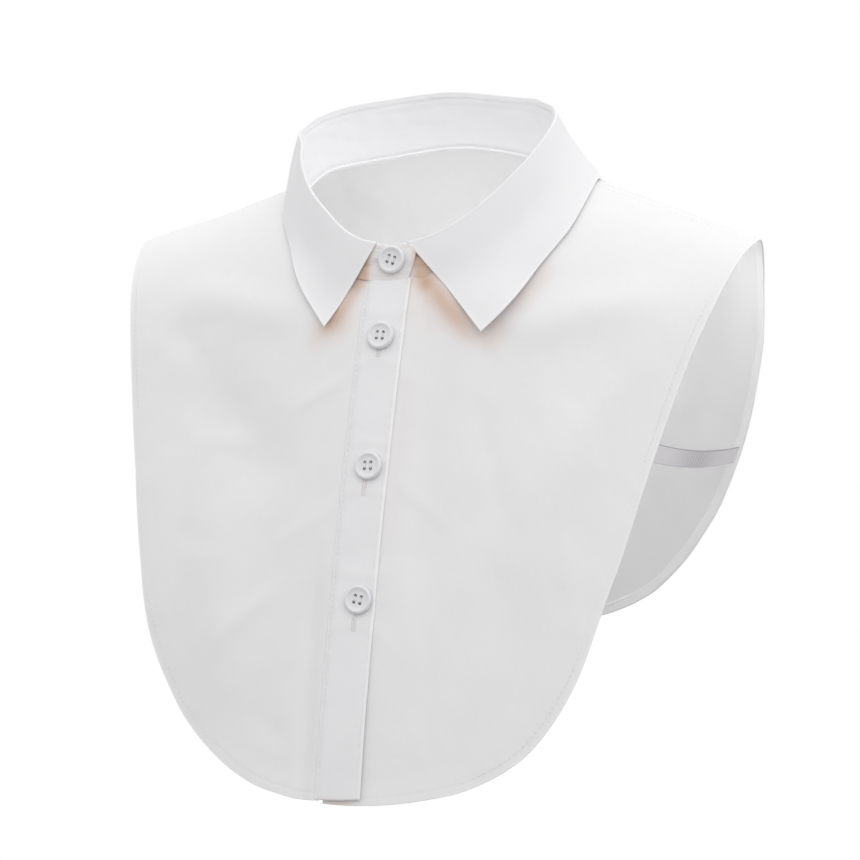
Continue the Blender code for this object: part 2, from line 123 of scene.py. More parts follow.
# the sky's light is its level plus the slope's part in the direction looked in. What is seen of it is white
sky = bpy.data.worlds.new("sky")
sky.use_nodes = True
nodes, links = sky.node_tree.nodes, sky.node_tree.links
direction = nodes.new("ShaderNodeTexCoord")
part = nodes.new("ShaderNodeVectorMath")
part.operation = "DOT_PRODUCT"
part.inputs[1].default_value = SKY_SLOPE
links.new(direction.outputs["Generated"], part.inputs[0])
ray = nodes.new("ShaderNodeLightPath")
seen = nodes.new("ShaderNodeMix")
seen.inputs["B"].default_value = 1.0
links.new(ray.outputs["Is Camera Ray"], seen.inputs["Factor"])
links.new(worked_out(sky.node_tree, "ADD", part.outputs["Value"], SKY_LEVEL), seen.inputs["A"])
links.new(seen.outputs["Result"], nodes["Background"].inputs["Strength"])
nodes["Background"].inputs["Color"].default_value = WHITE
bpy.context.scene.world = sky
bpy.context.scene.view_settings.view_transform = "Standard"

lamp = bpy.data.lights.new("lamp", "AREA")
lamp.shape = "SQUARE"
lamp.size = LAMP_SIZE
lamp.energy = LAMP_WATTS
aimed(lamp, LAMP_TURN, LAMP_RISE, LAMP_DISTANCE)

for *place, watts in LAMPS_INSIDE:
    inside_lamp = bpy.data.lights.new("lamp_inside", "POINT")
    inside_lamp.energy = watts
    inside_lamp.shadow_soft_size = INSIDE_LAMP_SIZE
    hung = bpy.data.objects.new("lamp_inside", inside_lamp)
    hung.location = Vector(place) * MM
    bpy.context.scene.collection.objects.link(hung)

# the paper gives back part of the light, and is seen as plain white
paper, paper_shader = plain_finish("white_paper", (*(FLOOR_BOUNCE,) * 3, 1.0), PAPER_ROUGHNESS)
nodes, links = paper.node_tree.nodes, paper.node_tree.links
glow = nodes.new("ShaderNodeEmission")
glow.inputs["Color"].default_value = WHITE
ray = nodes.new("ShaderNodeLightPath")
both = nodes.new("ShaderNodeMixShader")
links.new(ray.outputs["Is Camera Ray"], both.inputs["Fac"])
links.new(paper_shader.outputs["BSDF"], both.inputs[1])
links.new(glow.outputs["Emission"], both.inputs[2])
links.new(both.outputs["Shader"], nodes["Material Output"].inputs["Surface"])
floor_mesh = bpy.data.meshes.new("floor")
floor_mesh.from_pydata(SQUARE * FLOOR_HALF_WIDTH + [0, 0, FLOOR_LEVEL], [], [(0, 1, 2, 3)])
floor_mesh.materials.append(paper)
floor = bpy.data.objects.new("floor", floor_mesh)
bpy.context.scene.collection.objects.link(floor)

# ---- Fronts ----
# Two panels of white cotton poplin that hang from the shoulders and keep the form they have when worn. Their
# armholes and hems are turned in twice and topstitched, and the shoulder seams lie towards the front.
SHOULDER_TIP = 166.5
SEAM_BACK = 18.5
SEAM_TOP = 15.0
SHOULDER_SLOPE = 0.36
SHOULDER_ROUNDING = 30.0
SLOPE_AT_SEAM = (18.5, -10.0)
SLOPE_BELOW = (72.8, 98.5)
TURN_CENTRE = (147.0, 171.0)
TURN_TIP = (98.0, 65.0)
FRONT_STEEPENS = 5.9
SECTION_STEPS = 32
LONGEST_SECTION = 420.0
NECK_HALF_WIDTH = 65.5
NECK_FRONT = 50.5
NECK_BACK = 47.5
NECK_BACK_SQUARENESS = 2.3
SHOULDER_ANGLE = 180 - math.degrees(math.acos((SEAM_BACK / NECK_BACK) ** (NECK_BACK_SQUARENESS / 2)))
FRONT_EDGE = (
    # half width, below the shoulder seam
    (166.5, 0.0),
    (158.5, 45.0),
    (146.5, 95.0),
    (134.5, 150.0),
    (123.0, 205.0),
    (110.0, 255.0),
    (87.0, 300.0),
    (58.0, 332.0),
    (0.0, 354.5),
)
FRONT_WIDER = (
    # length below the shoulder seam, how much wider the left front is there, and the right front
    (0.0, 0.0, 0.0),
    (45.0, 0.0, -1.8),
    (110.0, 0.1, -0.7),
    (190.0, 0.4, -0.9),
    (245.0, 0.0, -1.1),
    (259.0, 0.9, -1.8),
    (274.0, 1.7, -2.8),
    (289.0, 2.4, -3.5),
    (304.0, 3.0, -4.2),
    (315.0, 2.2, -4.8),
    (324.0, 1.0, -5.1),
    (333.0, 0.1, -4.7),
    (340.0, -0.8, -3.5),
    (347.0, -0.9, -3.0),
    (354.5, 0.0, 0.0),
)
RIGHT_HEM_SHORTER = ((8.5, 1.4), (24.0, 0.0))
FOLDS = (
    # soft folds. x and length below the seam at each end (negative: on the back), half width, height
    (62.0, 112.0, 132.0, 62.0, 11.0, 2.4),
    (96.0, 128.0, 84.0, 236.0, 17.0, 2.2),
    (26.0, 118.0, 34.0, 250.0, 13.0, -2.0),
    (-44.0, 112.0, -122.0, 66.0, 11.0, 2.0),
    (-104.0, 118.0, -44.0, 196.0, 15.0, -2.6),
    (-88.0, 190.0, -62.0, 290.0, 17.0, 2.4),
    (-118.0, 150.0, -112.0, 250.0, 12.0, 1.6),
    (-74.0, -6.0, -142.0, -6.0, 34.0, -2.1),
    (40.0, -70.0, 104.0, -140.0, 17.0, 2.2),
    (-30.0, -76.0, -96.0, -150.0, 17.0, 2.4),
    (4.0, -110.0, -10.0, -260.0, 20.0, -2.4),
    (112.0, -150.0, 84.0, -236.0, 14.0, 1.8),
)
CREASES = (
    # smaller creases, in the same columns
    (20.0, 84.0, 34.0, 112.0, 3.2, 0.45),
    (27.0, 80.0, 46.0, 104.0, 3.6, -0.4),
    (16.0, 88.0, 22.0, 122.0, 2.6, -0.35),
    (-16.0, 86.0, -24.0, 116.0, 3.0, 0.4),
    (-25.0, 82.0, -40.0, 108.0, 3.4, -0.4),
    (-14.0, 150.0, -40.0, 158.0, 4.0, 0.35),
    (-16.0, 214.0, -44.0, 224.0, 5.0, 0.4),
    (16.0, 198.0, 46.0, 214.0, 5.0, 0.35),
    (-124.0, 84.0, -92.0, 120.0, 6.0, -0.6),
    (-60.0, 170.0, -96.0, 152.0, 5.0, 0.5),
    (-76.0, 214.0, -104.0, 196.0, 6.0, -0.45),
    (-40.0, 246.0, -72.0, 262.0, 6.0, 0.5),
    (-52.0, 300.0, -30.0, 322.0, 6.0, -0.4),
    (-19.5, 246.0, -18.0, 366.0, 5.0, -2.0),
    (134.0, 66.0, 80.0, 200.0, 14.0, 1.7),
    (52.0, 150.0, 70.0, 200.0, 6.0, -0.5),
    (118.0, 96.0, 98.0, 136.0, 6.0, -0.55),
    (74.0, 236.0, 60.0, 300.0, 7.0, 0.5),
    (38.0, 262.0, 44.0, 322.0, 5.0, -0.4),
    (100.0, 196.0, 108.0, 240.0, 5.0, 0.4),
    (22.0, -48.0, 58.0, -66.0, 5.0, 0.5),
    (-14.0, -52.0, -52.0, -60.0, 5.0, -0.5),
    (-40.0, -64.0, 6.0, -86.0, 6.0, 0.5),
    (64.0, -60.0, 112.0, -84.0, 6.0, -0.5),
    (-70.0, -56.0, -118.0, -86.0, 6.0, 0.5),
    (-60.0, -160.0, -104.0, -196.0, 6.0, -0.5),
    (30.0, -180.0, 62.0, -236.0, 6.0, 0.5),
    (136.0, -96.0, 116.0, -150.0, 5.0, 0.5),
    (-138.0, -92.0, -122.0, -160.0, 5.0, -0.45),
)
PAINTED_WARM_SHADE = (
    # painted warm shade where the leaf shadows the cloth near its edges, and along a few other lines, in the
    # same columns. The last is its share
    (13.0, 95.0, 22.0, 101.0, 5.0, 0.46),
    (12.0, 112.0, 30.0, 122.0, 7.0, 0.09),
    (17.0, 97.0, 46.0, 119.0, 7.0, 0.66),
    (50.0, 122.0, 62.0, 106.0, 6.0, 0.24),
    (61.0, 106.0, 78.0, 69.0, 5.0, 0.2),
    (-11.0, 96.0, -17.0, 105.0, 4.0, 0.5),
    (-15.0, 103.0, -29.0, 123.0, 5.0, 0.55),
    (-14.0, 122.0, -38.0, 122.0, 8.0, 0.25),
    (17.0, 140.0, 17.0, 235.0, 5.0, 0.05),
    (-9.0, 354.0, 10.0, 354.5, 2.2, 0.3),
)
SHIRTING_THICKNESS = 0.5
BAND_UNDER = 0.5
BAND_HANGS = 0.9
BAND_HANGS_FROM = (255.0, 325.0)
BAND_LIFTS_WITHIN = (10.0, 27.0)
HEM_WIDTH = 4.0
HEM_EXTRA = 0.5
HEM_STITCH_IN = 3.4
ON_HEM = (0.19, 0.75)
ON_FELL = (0.22, 0.5)
ON_NECK_SEAM = (0.25, 0.25)
HEM_ROWS = (7.0, 5.6, 4.9, 4.5, 4.2, 3.9, 3.6, 3.2, 2.6, 1.8, 1.1, 0.65, 0.35, 0.17, 0.06, 0.0)
HEM_PUCKER = 0.05
HEM_PUCKER_LENGTH = 5.6
HEM_CURL = 0.5
HEM_CURL_LENGTH = 31.0
HEM_CURL_WITHIN = 12.0
HEM_GROOVE = (0.02, 0.07)
HEM_GROOVE_DEEPENS = (230.0, 280.0)
SHOULDER_FELL = 6.0
SHOULDER_HALF_GAP = 0.05
SHOULDER_FELL_OUT = 0.08
SHOULDER_FELL_IN = 0.3
SHOULDER_FELL_FROM = 68.0
FRONT_COLUMNS = 250
FRONT_PITCH = 2.1
PLACKET_RIGHT = -10.5
PLACKET_LEFT = 12.5
EXTENSION = 7.0
RIGHT_FRONT_UNDER_BAND = 2.0
BUTTONS = (
    # x and length below the shoulder seam
    (1.5, 130.0),
    (3.0, 194.0),
    (4.5, 258.0),
)
BUTTON_DIMPLE = 0.35
BUTTON_DIMPLE_RADIUS = 8.0
PULL_RIDGE = 0.28
PULL_RIDGE_AT = 11.0
PULL_RIDGE_BEND = 0.02
PULL_RIDGE_WIDTH = 3.4
PULL_RIDGE_LENGTH = 15.0
RUMPLES = (
    # seed, shortest and longest wave, height
    (11, 14.0, 46.0, 0.34),
    (12, 6.0, 15.0, 0.06),
)
RUMPLE_WAVES = 26
FRONT_RUMPLE = 0.55
BACK_RUMPLE = 1.0
BACK_NECK_RUMPLE = 1.6
STITCH_PITCH = 2.8
STITCH_LENGTH = 2.15
STITCH_RISE = 0.22
STITCH_SINKS = 0.1
STITCH_RINGS = 6
STITCH_SIDES = 6
THREAD_RADIUS = 0.13
NECK_STITCH_BELOW = 2.2
WEAVE_PITCH = 0.25
WEAVE_DEPTH = 0.035
SLUB_STRETCHES = ((2600.0, 90.0, 1.0), (90.0, 2600.0, 1.0))
SLUB_RANGE = (0.7, 1.25)
SLUB_SHADE = 0.975
SHIRTING_COLOUR = (0.872, 0.866, 0.871)
LINED_COLOUR = (0.87, 0.864, 0.878)
# the brown that painted shade, under the leaf and on the buttonholes' satin, is mixed towards
PAINTED_SHADE_COLOUR = (0.62, 0.37, 0.23, 1.0)
# painted highlight on turned edges and the neck welt, partly also the whiter look of cloth folded double
FOLD_AND_HIGHLIGHT_WHITE = (0.96, 0.955, 0.965, 1.0)


def through(knots, values, at):
    """A smooth curve through the values at their knots: cubic Hermite, slopes from the neighbours."""
    knots, values, at = (np.asarray(v, float) for v in (knots, values, at))
    slopes = np.gradient(values, knots)
    k = np.clip(np.searchsorted(knots, at) - 1, 0, len(knots) - 2)
    step = knots[k + 1] - knots[k]
    t = (at - knots[k]) / step
    ends = values[k] * (1 + 2 * t) * (1 - t) ** 2 + values[k + 1] * t**2 * (3 - 2 * t)
    return ends + step * (slopes[k] * t * (1 - t) ** 2 - slopes[k + 1] * t**2 * (1 - t))


def eased(value, low, high):
    """0 below low, 1 above high, and a smooth step between: t squared times (3 - 2t)."""
    t = np.clip((np.asarray(value, float) - low) / (high - low), 0, 1)
    return t * t * (3 - 2 * t)


def section(x, arc):
    """How far forward and down the cloth has run at this length from the shoulder seam (behind: negative).
    The slope turns from its value at the seam to its value below as the sine of the share of the turn, and
    the run is the mean cosine and sine of the slope times the length."""
    front = arc >= 0
    pairs = (TURN_CENTRE, TURN_TIP, SLOPE_AT_SEAM, SLOPE_BELOW)
    centre, tip, start, below = (np.where(front, *pair)[..., None] for pair in pairs)
    turn = centre + (tip - centre) * ((x / SHOULDER_TIP) ** 2)[..., None]
    along = np.abs(arc)[..., None] * ((np.arange(SECTION_STEPS) + 0.5) / SECTION_STEPS) / turn
    turned = np.sin(0.5 * np.pi * np.clip(along, 0, 1))
    later = np.where(front, FRONT_STEEPENS, 0.0)[..., None] * np.clip(along - 1, 0, None)
    slope = np.radians(start + (below - start) * turned + later)
    return np.cos(slope).mean(-1) * arc, np.sin(slope).mean(-1) * np.abs(arc)


def bell(value, middle, width):
    """1 at the middle, falling to both sides as a Gaussian of this width."""
    return np.exp(-(((value - middle) / width) ** 2))


def ridges(x, arc, table):
    """The summed height of straight folds: a bell across each line, that fades at the line's ends."""
    height = np.zeros_like(x)
    for x0, arc0, x1, arc1, width, rise in table:
        run_x, run_arc = x1 - x0, arc1 - arc0
        length = math.hypot(run_x, run_arc)
        t = ((x - x0) * run_x + (arc - arc0) * run_arc) / length**2
        across = ((x - x0) * run_arc - (arc - arc0) * run_x) / length
        height += rise * bell(across, 0.0, width) * np.exp(-((2 * t - 1) ** 4))
    return height


def rumple(x, arc, seed, shortest, longest, height):
    """Uneven soft rumpling: the sum of sine waves in random directions, each as high as it is long."""
    dice = np.random.default_rng(seed)
    length = dice.uniform(shortest, longest, RUMPLE_WAVES)
    turn = dice.uniform(0, np.pi, RUMPLE_WAVES)
    phase = dice.uniform(0, 2 * np.pi, RUMPLE_WAVES)
    total = np.zeros_like(x)
    for k in range(RUMPLE_WAVES):
        along = (x * math.cos(turn[k]) + arc * math.sin(turn[k])) / length[k]
        total += np.sin(2 * np.pi * along + phase[k]) * length[k] / longest
    return total * height / math.sqrt(RUMPLE_WAVES)


def plain_form(x, arc):
    """The worn form: across by x, and by the section's run forward and down, less the shoulder's fall."""
    x, arc = np.broadcast_arrays(np.asarray(x, float), np.asarray(arc, float))
    forward, down = section(x, arc)
    run = np.sqrt(x**2 + SHOULDER_ROUNDING**2) - SHOULDER_ROUNDING
    return np.stack([x, SEAM_BACK - forward, SEAM_TOP - SHOULDER_SLOPE * run - down], -1)


def unit(vectors):
    """The vectors, each divided by its length."""
    return vectors / np.linalg.norm(vectors, axis=-1, keepdims=True)


def form_normal(x, arc):
    """The outward normal: the cross product of the form's small steps along the cloth and across it."""
    across = plain_form(x + 0.5, arc) - plain_form(x - 0.5, arc)
    along = plain_form(x, arc + 0.5) - plain_form(x, arc - 0.5)
    return unit(np.cross(along, across))


def raised(x, arc, lift):
    """Points at a height over the worn form, along its normals, and those normals."""
    normal = form_normal(x, arc)
    return plain_form(x, arc) + normal * lift[..., None], normal


def button_pull(x, arc):
    """The dimple round each button, and the soft ridge that runs across the band above and below it."""
    height = np.zeros_like(x)
    for bx, b_arc in BUTTONS:
        height -= BUTTON_DIMPLE * bell(np.hypot(x - bx, arc - b_arc), 0.0, BUTTON_DIMPLE_RADIUS)
        for side in (-1, 1):
            bent = b_arc + side * (PULL_RIDGE_AT + PULL_RIDGE_BEND * (x - bx) ** 2)
            height += PULL_RIDGE * bell(arc, bent, PULL_RIDGE_WIDTH) * bell(x, bx, PULL_RIDGE_LENGTH)
    return height


def cloth_lift(x, arc):
    """How far folds, creases, rumpling and the pull of the buttons stand out from the plain form. The back
    is rumpled more than the fronts, and most near the neck."""
    lift = ridges(x, arc, FOLDS) + ridges(x, arc, CREASES) + button_pull(x, arc)
    near_neck = eased(arc, -110.0, -60.0) * (1 - eased(np.abs(x), 60.0, 100.0))
    share = np.where(arc < 0, BACK_RUMPLE + BACK_NECK_RUMPLE * near_neck, FRONT_RUMPLE)
    return lift + share * sum(rumple(x, arc, *row) for row in RUMPLES)


def run_along(points):
    """The length up to each point, along a polyline or down each column of a grid of points."""
    steps = np.linalg.norm(np.diff(points, axis=0), axis=-1)
    return np.concatenate([np.zeros_like(steps[:1]), np.cumsum(steps, axis=0)])


def read_off(at, along, values):
    """The values, one row for each length in along, read off at other lengths."""
    return np.stack([np.interp(at, along, column) for column in values.T], -1)


def evenly(points, count):
    """The polyline's points, moved to equal steps along it."""
    along = run_along(points)
    return read_off(np.linspace(0, along[-1], count), along, points)


def cut_edge(rows, start_x):
    """(x, length) along a panel's cut edge, from the hem at start_x round to the shoulder tip."""
    points = np.array(rows)[::-1]
    points = np.concatenate([[[-points[1, 0], points[1, 1]]], points])
    knots = run_along(points)
    fine = np.linspace(0, knots[-1], 1600)
    edge = np.stack([through(knots, points[:, k], fine) for k in range(2)], -1)
    first = np.array([[start_x, np.interp(start_x, edge[:, 0], edge[:, 1])]])
    return np.concatenate([first, edge[edge[:, 0] > start_x + 0.3]])


def front_cut(start_x, side):
    """The cut edge of the left (1) or right (2) front, laid out as a left one, with that side's own width."""
    edge = cut_edge(FRONT_EDGE, start_x)
    table = np.array(FRONT_WIDER)
    shorter = np.interp(edge[:, 0], *np.array(RIGHT_HEM_SHORTER).T) * (side == 2)
    wide = edge[:, 0] + through(table[:, 0], table[:, side], edge[:, 1])
    return np.stack([np.maximum(wide, start_x), np.maximum(edge[:, 1] - shorter, SHOULDER_HALF_GAP)], -1)


def moved_in(edge, distance, least_x, least_arc):
    """The cut edge moved into the panel by a distance, at right angles to itself."""
    run = unit(np.gradient(edge, axis=0))
    inward = np.stack([run[:, 1], -run[:, 0]], -1)
    moved = edge + inward * distance
    return np.stack([np.maximum(moved[:, 0], least_x), np.maximum(moved[:, 1], least_arc)], -1)


def neck_plan(angle, out):
    """x and y of the neckline from above: half an ellipse in front, half a squarer one behind."""
    turn = np.radians(angle)
    front = np.cos(turn) > 0
    depth = np.where(front, NECK_FRONT, NECK_BACK)
    power = np.where(front, 1.0, 2 / NECK_BACK_SQUARENESS)
    across = np.sign(np.sin(turn)) * np.abs(np.sin(turn)) ** power
    along = np.sign(np.cos(turn)) * np.abs(np.cos(turn)) ** power
    return (NECK_HALF_WIDTH + out) * across, -(depth + out) * along


def arc_at(x, y):
    """The length from the seam at which the plain form reaches y, found by halving."""
    forward = SEAM_BACK - y
    low, high = np.zeros_like(x), np.full_like(x, LONGEST_SECTION)
    for _ in range(24):
        middle = (low + high) / 2
        short = np.abs(section(x, np.where(forward >= 0, middle, -middle))[0]) < np.abs(forward)
        low, high = np.where(short, middle, low), np.where(short, high, middle)
    return np.where(forward >= 0, middle, -middle)


def neck_point(angle, out=0.0):
    """(x, length) of the neckline, or of a line out from it."""
    x, y = neck_plan(np.asarray(angle, float), out)
    return x, arc_at(x, y)


def edge_distances(points):
    """Each grid point's distance to the nearest of the grid's four borders, along its rows and columns."""
    top = run_along(points)
    left = run_along(points.swapaxes(0, 1)).T
    return np.minimum(np.minimum(top, top[-1] - top), np.minimum(left, left[:, -1:] - left))


def rounded(distance, thickness):
    """The share of a folded edge's thickness at a distance from it: a quarter circle."""
    share = np.clip(distance / (thickness / 2), 0, 1)
    return np.maximum(np.sqrt(1 - (1 - share) ** 2), 0.2)


def shell_mesh(name, middle, normal, over, under, *flat):
    """A closed wall that stands out over and under a grid of points along its normals. Its UV map is the
    cloth laid flat, in metres."""
    outer, inner = middle + normal * over[..., None], middle - normal * under[..., None]
    rows, columns = outer.shape[:2]
    count = rows * columns
    index = np.arange(count).reshape(rows, columns)
    quads = np.stack([index[:-1, :-1], index[:-1, 1:], index[1:, 1:], index[1:, :-1]], -1).reshape(-1, 4)
    corner = outer.reshape(-1, 3)[quads]
    facing = np.cross(corner[:, 1] - corner[:, 0], corner[:, 3] - corner[:, 0])
    border = np.concatenate([index[0], index[1:, -1], index[-1, -2::-1], index[-2:0:-1, 0]])
    if (facing * (outer - inner).reshape(-1, 3)[quads[:, 0]]).sum() < 0:
        quads = quads[:, ::-1]
    else:
        border = border[::-1]
    after = np.roll(border, -1)
    rim = np.stack([border, after, after + count, border + count], -1)
    faces = np.concatenate([quads, quads[:, ::-1] + count, rim])
    points = np.concatenate([outer.reshape(-1, 3), inner.reshape(-1, 3)]) * MM
    mesh = bpy.data.meshes.new(name)
    mesh.from_pydata(points, [], faces)
    layer = mesh.uv_layers.new(name="flat")
    both = np.tile(np.stack(flat, -1).reshape(-1, 2) * MM, (2, 1))
    layer.data.foreach_set("uv", both[faces.ravel()].astype(np.float32).ravel())
    mesh.shade_smooth()
    return mesh


def shaded(mesh, name, outer, *inner):
    """Stores a share at each point: how much painted warm shade it has, how much painted highlight and the
    double cloth of a fold whiten it, or how much of it is knot rather than web painted dark as shade. A shell
    has a share for its outer face and one for its inner face."""
    values = np.concatenate([(face + 0 * outer).ravel() for face in (outer, *inner)]).astype(np.float32)
    mesh.attributes.new(name, "FLOAT", "POINT").data.foreach_set("value", np.clip(values, 0, 1))


def add_piece(name, mesh, finish, slot, *stands_for):
    """Puts a mesh in the scene with its finish, rides it on the body and hides the model's parts that it
    stands for.
    """
    mesh.materials.append(finish)
    piece = bpy.data.objects.new(name, mesh)
    bpy.context.scene.collection.objects.link(piece)
    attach(piece, "root")
    if stands_for:
        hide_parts(*stands_for)
    return piece


def turned_rings(sides, first, second):
    """Rings of points round a line: cosine times one vector and sine times another, at even turns."""
    turn = (np.arange(sides) * 2 * np.pi / sides)[:, None]
    return np.cos(turn) * first[..., None, :] + np.sin(turn) * second[..., None, :]


def tube_mesh(name, groups):
    """Tubes of thread. A group holds (tube, ring, point), with rings that turn anticlockwise about the way
    that they run: a wall of quads joins ring to ring, and a fan of quads closes both ends."""
    faces, start = [], 0
    for group in groups:
        count, rings, sides = group.shape[:3]
        tubes = start + np.arange(count)[:, None, None] * rings * sides
        walls = tubes + np.arange(rings - 1)[:, None] * sides
        k = np.arange(sides)
        nearer, further = walls + k, walls + (k + 1) % sides
        k = np.arange(sides // 2 - 1) * 2
        fans = tubes + np.stack([0 * k, k + 1, k + 2, k + 3], -1)
        walls = np.stack([nearer, further, further + sides, nearer + sides], -1)
        faces += [part.reshape(-1, 4) for part in (walls, fans[..., ::-1], fans + (rings - 1) * sides)]
        start += count * rings * sides
    mesh = bpy.data.meshes.new(name)
    points = np.concatenate([group.reshape(-1, 3) for group in groups])
    mesh.from_pydata(points * MM, [], np.concatenate(faces))
    mesh.shade_smooth()
    return mesh


def sew(name, lines):
    """Adds running stitches. Each line is (points, normals) on the cloth. A stitch is a thin tube that rises
    out of the cloth as a half sine and goes down again, tapered at both ends."""
    t = np.linspace(0, 1, STITCH_RINGS)
    radius = THREAD_RADIUS * np.sqrt(np.clip(np.sin(np.pi * t), 0.12, 1))[:, None, None]
    groups = []
    for points, normals in lines:
        along = run_along(points)
        count = int((along[-1] - 1.0) // STITCH_PITCH)
        at = 0.5 + np.arange(count)[:, None] * STITCH_PITCH + t * STITCH_LENGTH
        place, up = read_off(at, along, points), read_off(at, along, normals)
        centre = place + up * (STITCH_RISE * np.sin(np.pi * t) - STITCH_SINKS)[:, None]
        side = np.cross(up, unit(np.gradient(place, axis=1)))
        groups.append(centre[:, :, None] + turned_rings(STITCH_SIDES, side, up) * radius)
    add_piece(name, tube_mesh(name, groups), shirting, "shirting")


def toward(tree, colour, attribute, other):
    """The colour, mixed towards another by the share that the mesh holds under the attribute's name."""
    share = tree.nodes.new("ShaderNodeAttribute")
    share.attribute_name = attribute
    mixed = tree.nodes.new("ShaderNodeMix")
    mixed.data_type = "RGBA"
    mixed.inputs["B"].default_value = other
    tree.links.new(share.outputs["Fac"], mixed.inputs["Factor"])
    feed(tree, mixed.inputs["A"], colour)
    return mixed.outputs["Result"]


def shirting_material(name, colour):
    """Plain-woven cotton. The weave is the product of two sines of the flat cloth's x and y, a thread a
    quarter of a millimetre wide, and long noises along warp and weft make its slubs."""
    made, shader = plain_finish(name, (*colour, 1.0), 0.82)
    shader.inputs["Sheen Weight"].default_value = 0.22
    shader.inputs["Sheen Roughness"].default_value = 0.4
    shader.inputs["Specular IOR Level"].default_value = 0.25
    tree = made.node_tree
    nodes, links = tree.nodes, tree.links
    flat = nodes.new("ShaderNodeUVMap")
    flat.uv_map = "flat"
    split = nodes.new("ShaderNodeSeparateXYZ")
    links.new(flat.outputs["UV"], split.inputs[0])
    turns = (worked_out(tree, "MULTIPLY", split.outputs[axis], math.pi / (WEAVE_PITCH * MM)) for axis in "XY")
    weave = worked_out(tree, "MULTIPLY", *(worked_out(tree, "SINE", turn) for turn in turns))
    slubs = []
    for stretch in SLUB_STRETCHES:
        stretched = nodes.new("ShaderNodeMapping")
        stretched.inputs["Scale"].default_value = stretch
        links.new(flat.outputs["UV"], stretched.inputs["Vector"])
        noise = nodes.new("ShaderNodeTexNoise")
        noise.inputs["Scale"].default_value = 1.0
        noise.inputs["Detail"].default_value = 2.0
        links.new(stretched.outputs["Vector"], noise.inputs["Vector"])
        slubs.append(noise.outputs["Fac"])
    threads = worked_out(tree, "ADD", *slubs)
    bump = nodes.new("ShaderNodeBump")
    bump.inputs["Strength"].default_value = 0.35
    bump.inputs["Distance"].default_value = WEAVE_DEPTH * MM
    links.new(worked_out(tree, "MULTIPLY_ADD", weave, 0.5, threads), bump.inputs["Height"])
    links.new(bump.outputs["Normal"], shader.inputs["Normal"])
    tint = nodes.new("ShaderNodeMix")
    tint.data_type = "RGBA"
    tint.inputs["A"].default_value = (*(c * SLUB_SHADE for c in colour), 1.0)
    tint.inputs["B"].default_value = (*colour, 1.0)
    spread = nodes.new("ShaderNodeMapRange")
    spread.inputs["From Min"].default_value, spread.inputs["From Max"].default_value = SLUB_RANGE
    links.new(threads, spread.inputs["Value"])
    links.new(spread.outputs["Result"], tint.inputs["Factor"])
    # the colour is mixed first towards a whiter one: painted highlight along turned edges, partly the whiter
    # look of cloth folded double
    shade = toward(tree, tint.outputs["Result"], "folded", FOLD_AND_HIGHLIGHT_WHITE)
    # and then towards a brown by its share of painted shade
    links.new(toward(tree, shade, "painted_shade", PAINTED_SHADE_COLOUR), shader.inputs["Base Color"])
    return made


def panel_rows(inner, edge, pitch, least_x, least_arc):
    """(x, length) grid from the neckline to the cut edge, with close rows over the hem, and each point's
    distance from the cut edge."""
    hem_start = moved_in(edge, HEM_ROWS[0], least_x, least_arc)
    longest = np.linalg.norm(hem_start - inner, axis=1).max()
    share = np.linspace(0, 1, int(longest / pitch))[:-1, None, None]
    body = inner[None] * (1 - share) + hem_start[None] * share
    hem = np.stack([moved_in(edge, d, least_x, least_arc) for d in HEM_ROWS])
    left = np.linalg.norm(hem_start - inner, axis=1) * (1 - share[..., 0]) + HEM_ROWS[0]
    distance = np.concatenate([left, np.repeat(np.array(HEM_ROWS)[:, None], len(edge), 1)])
    return np.concatenate([body, hem]), distance


def panel_shell(name, x, arc, from_edge, seam_side, extra_lift=0.0):
    """A panel: the worn form with its folds, a thicker turned hem on the inside and a row of small puckers
    where it is stitched. seam_side is the distance from the shoulder seam."""
    run = run_along(np.stack([x, arc], -1).swapaxes(0, 1)).T
    stitched = bell(from_edge, HEM_STITCH_IN, 0.8)
    puckers = HEM_PUCKER * np.sin(2 * np.pi * run / HEM_PUCKER_LENGTH + 1.3 * np.sin(run / 17.0))
    puckers = puckers * bell(from_edge, 3.5, 2.6)
    curl = HEM_CURL * np.sin(run / HEM_CURL_LENGTH + 0.7)
    curl = curl * eased(HEM_CURL_WITHIN - from_edge, 0, HEM_CURL_WITHIN)
    groove = HEM_GROOVE[0] + (HEM_GROOVE[1] - HEM_GROOVE[0]) * eased(arc, *HEM_GROOVE_DEEPENS)
    lift = cloth_lift(x, arc) + extra_lift - groove * stitched + puckers + curl
    fell = 1 - eased(seam_side, SHOULDER_FELL - 0.6, SHOULDER_FELL)
    hem = 1 - eased(from_edge, HEM_WIDTH - 0.25, HEM_WIDTH + 0.25)
    middle, normal = raised(x, arc, lift)
    edges = rounded(edge_distances(middle), SHIRTING_THICKNESS)
    half = SHIRTING_THICKNESS / 2
    over = half * edges + SHOULDER_FELL_OUT * fell * (from_edge > 0.3)
    under = (half + HEM_EXTRA * hem + SHOULDER_FELL_IN * fell * (1 - hem)) * edges
    mesh = shell_mesh(name, middle, normal, over, under, x, arc)
    # painted warm shade where the leaf shadows the cloth, on the outer face only
    shaded(mesh, "painted_shade", ridges(x, arc, PAINTED_WARM_SHADE), 0.0)
    # painted highlight along the outer face's cut edges; on the inner face the hem, folded double, is whiter,
    # partly as painted highlight
    shaded(mesh, "folded", 0.4 * (1 - eased(from_edge, 0.5, 1.3)), 0.7 * hem)
    return mesh


def on_cloth(x, arc, out):
    """Points at a height over the cloth's middle, with their normals, for what is sewn on."""
    return raised(x, arc, cloth_lift(x, arc) + out)


def both_faces(line, out, inside):
    """A stitched line's (points, normals), at a distance from the cloth's middle, on its outer face and on
    its inner one."""
    points, normals = on_cloth(line[:, 0], line[:, 1], 0.0)
    return [(points + normals * out, normals), (points - normals * inside, -normals)]


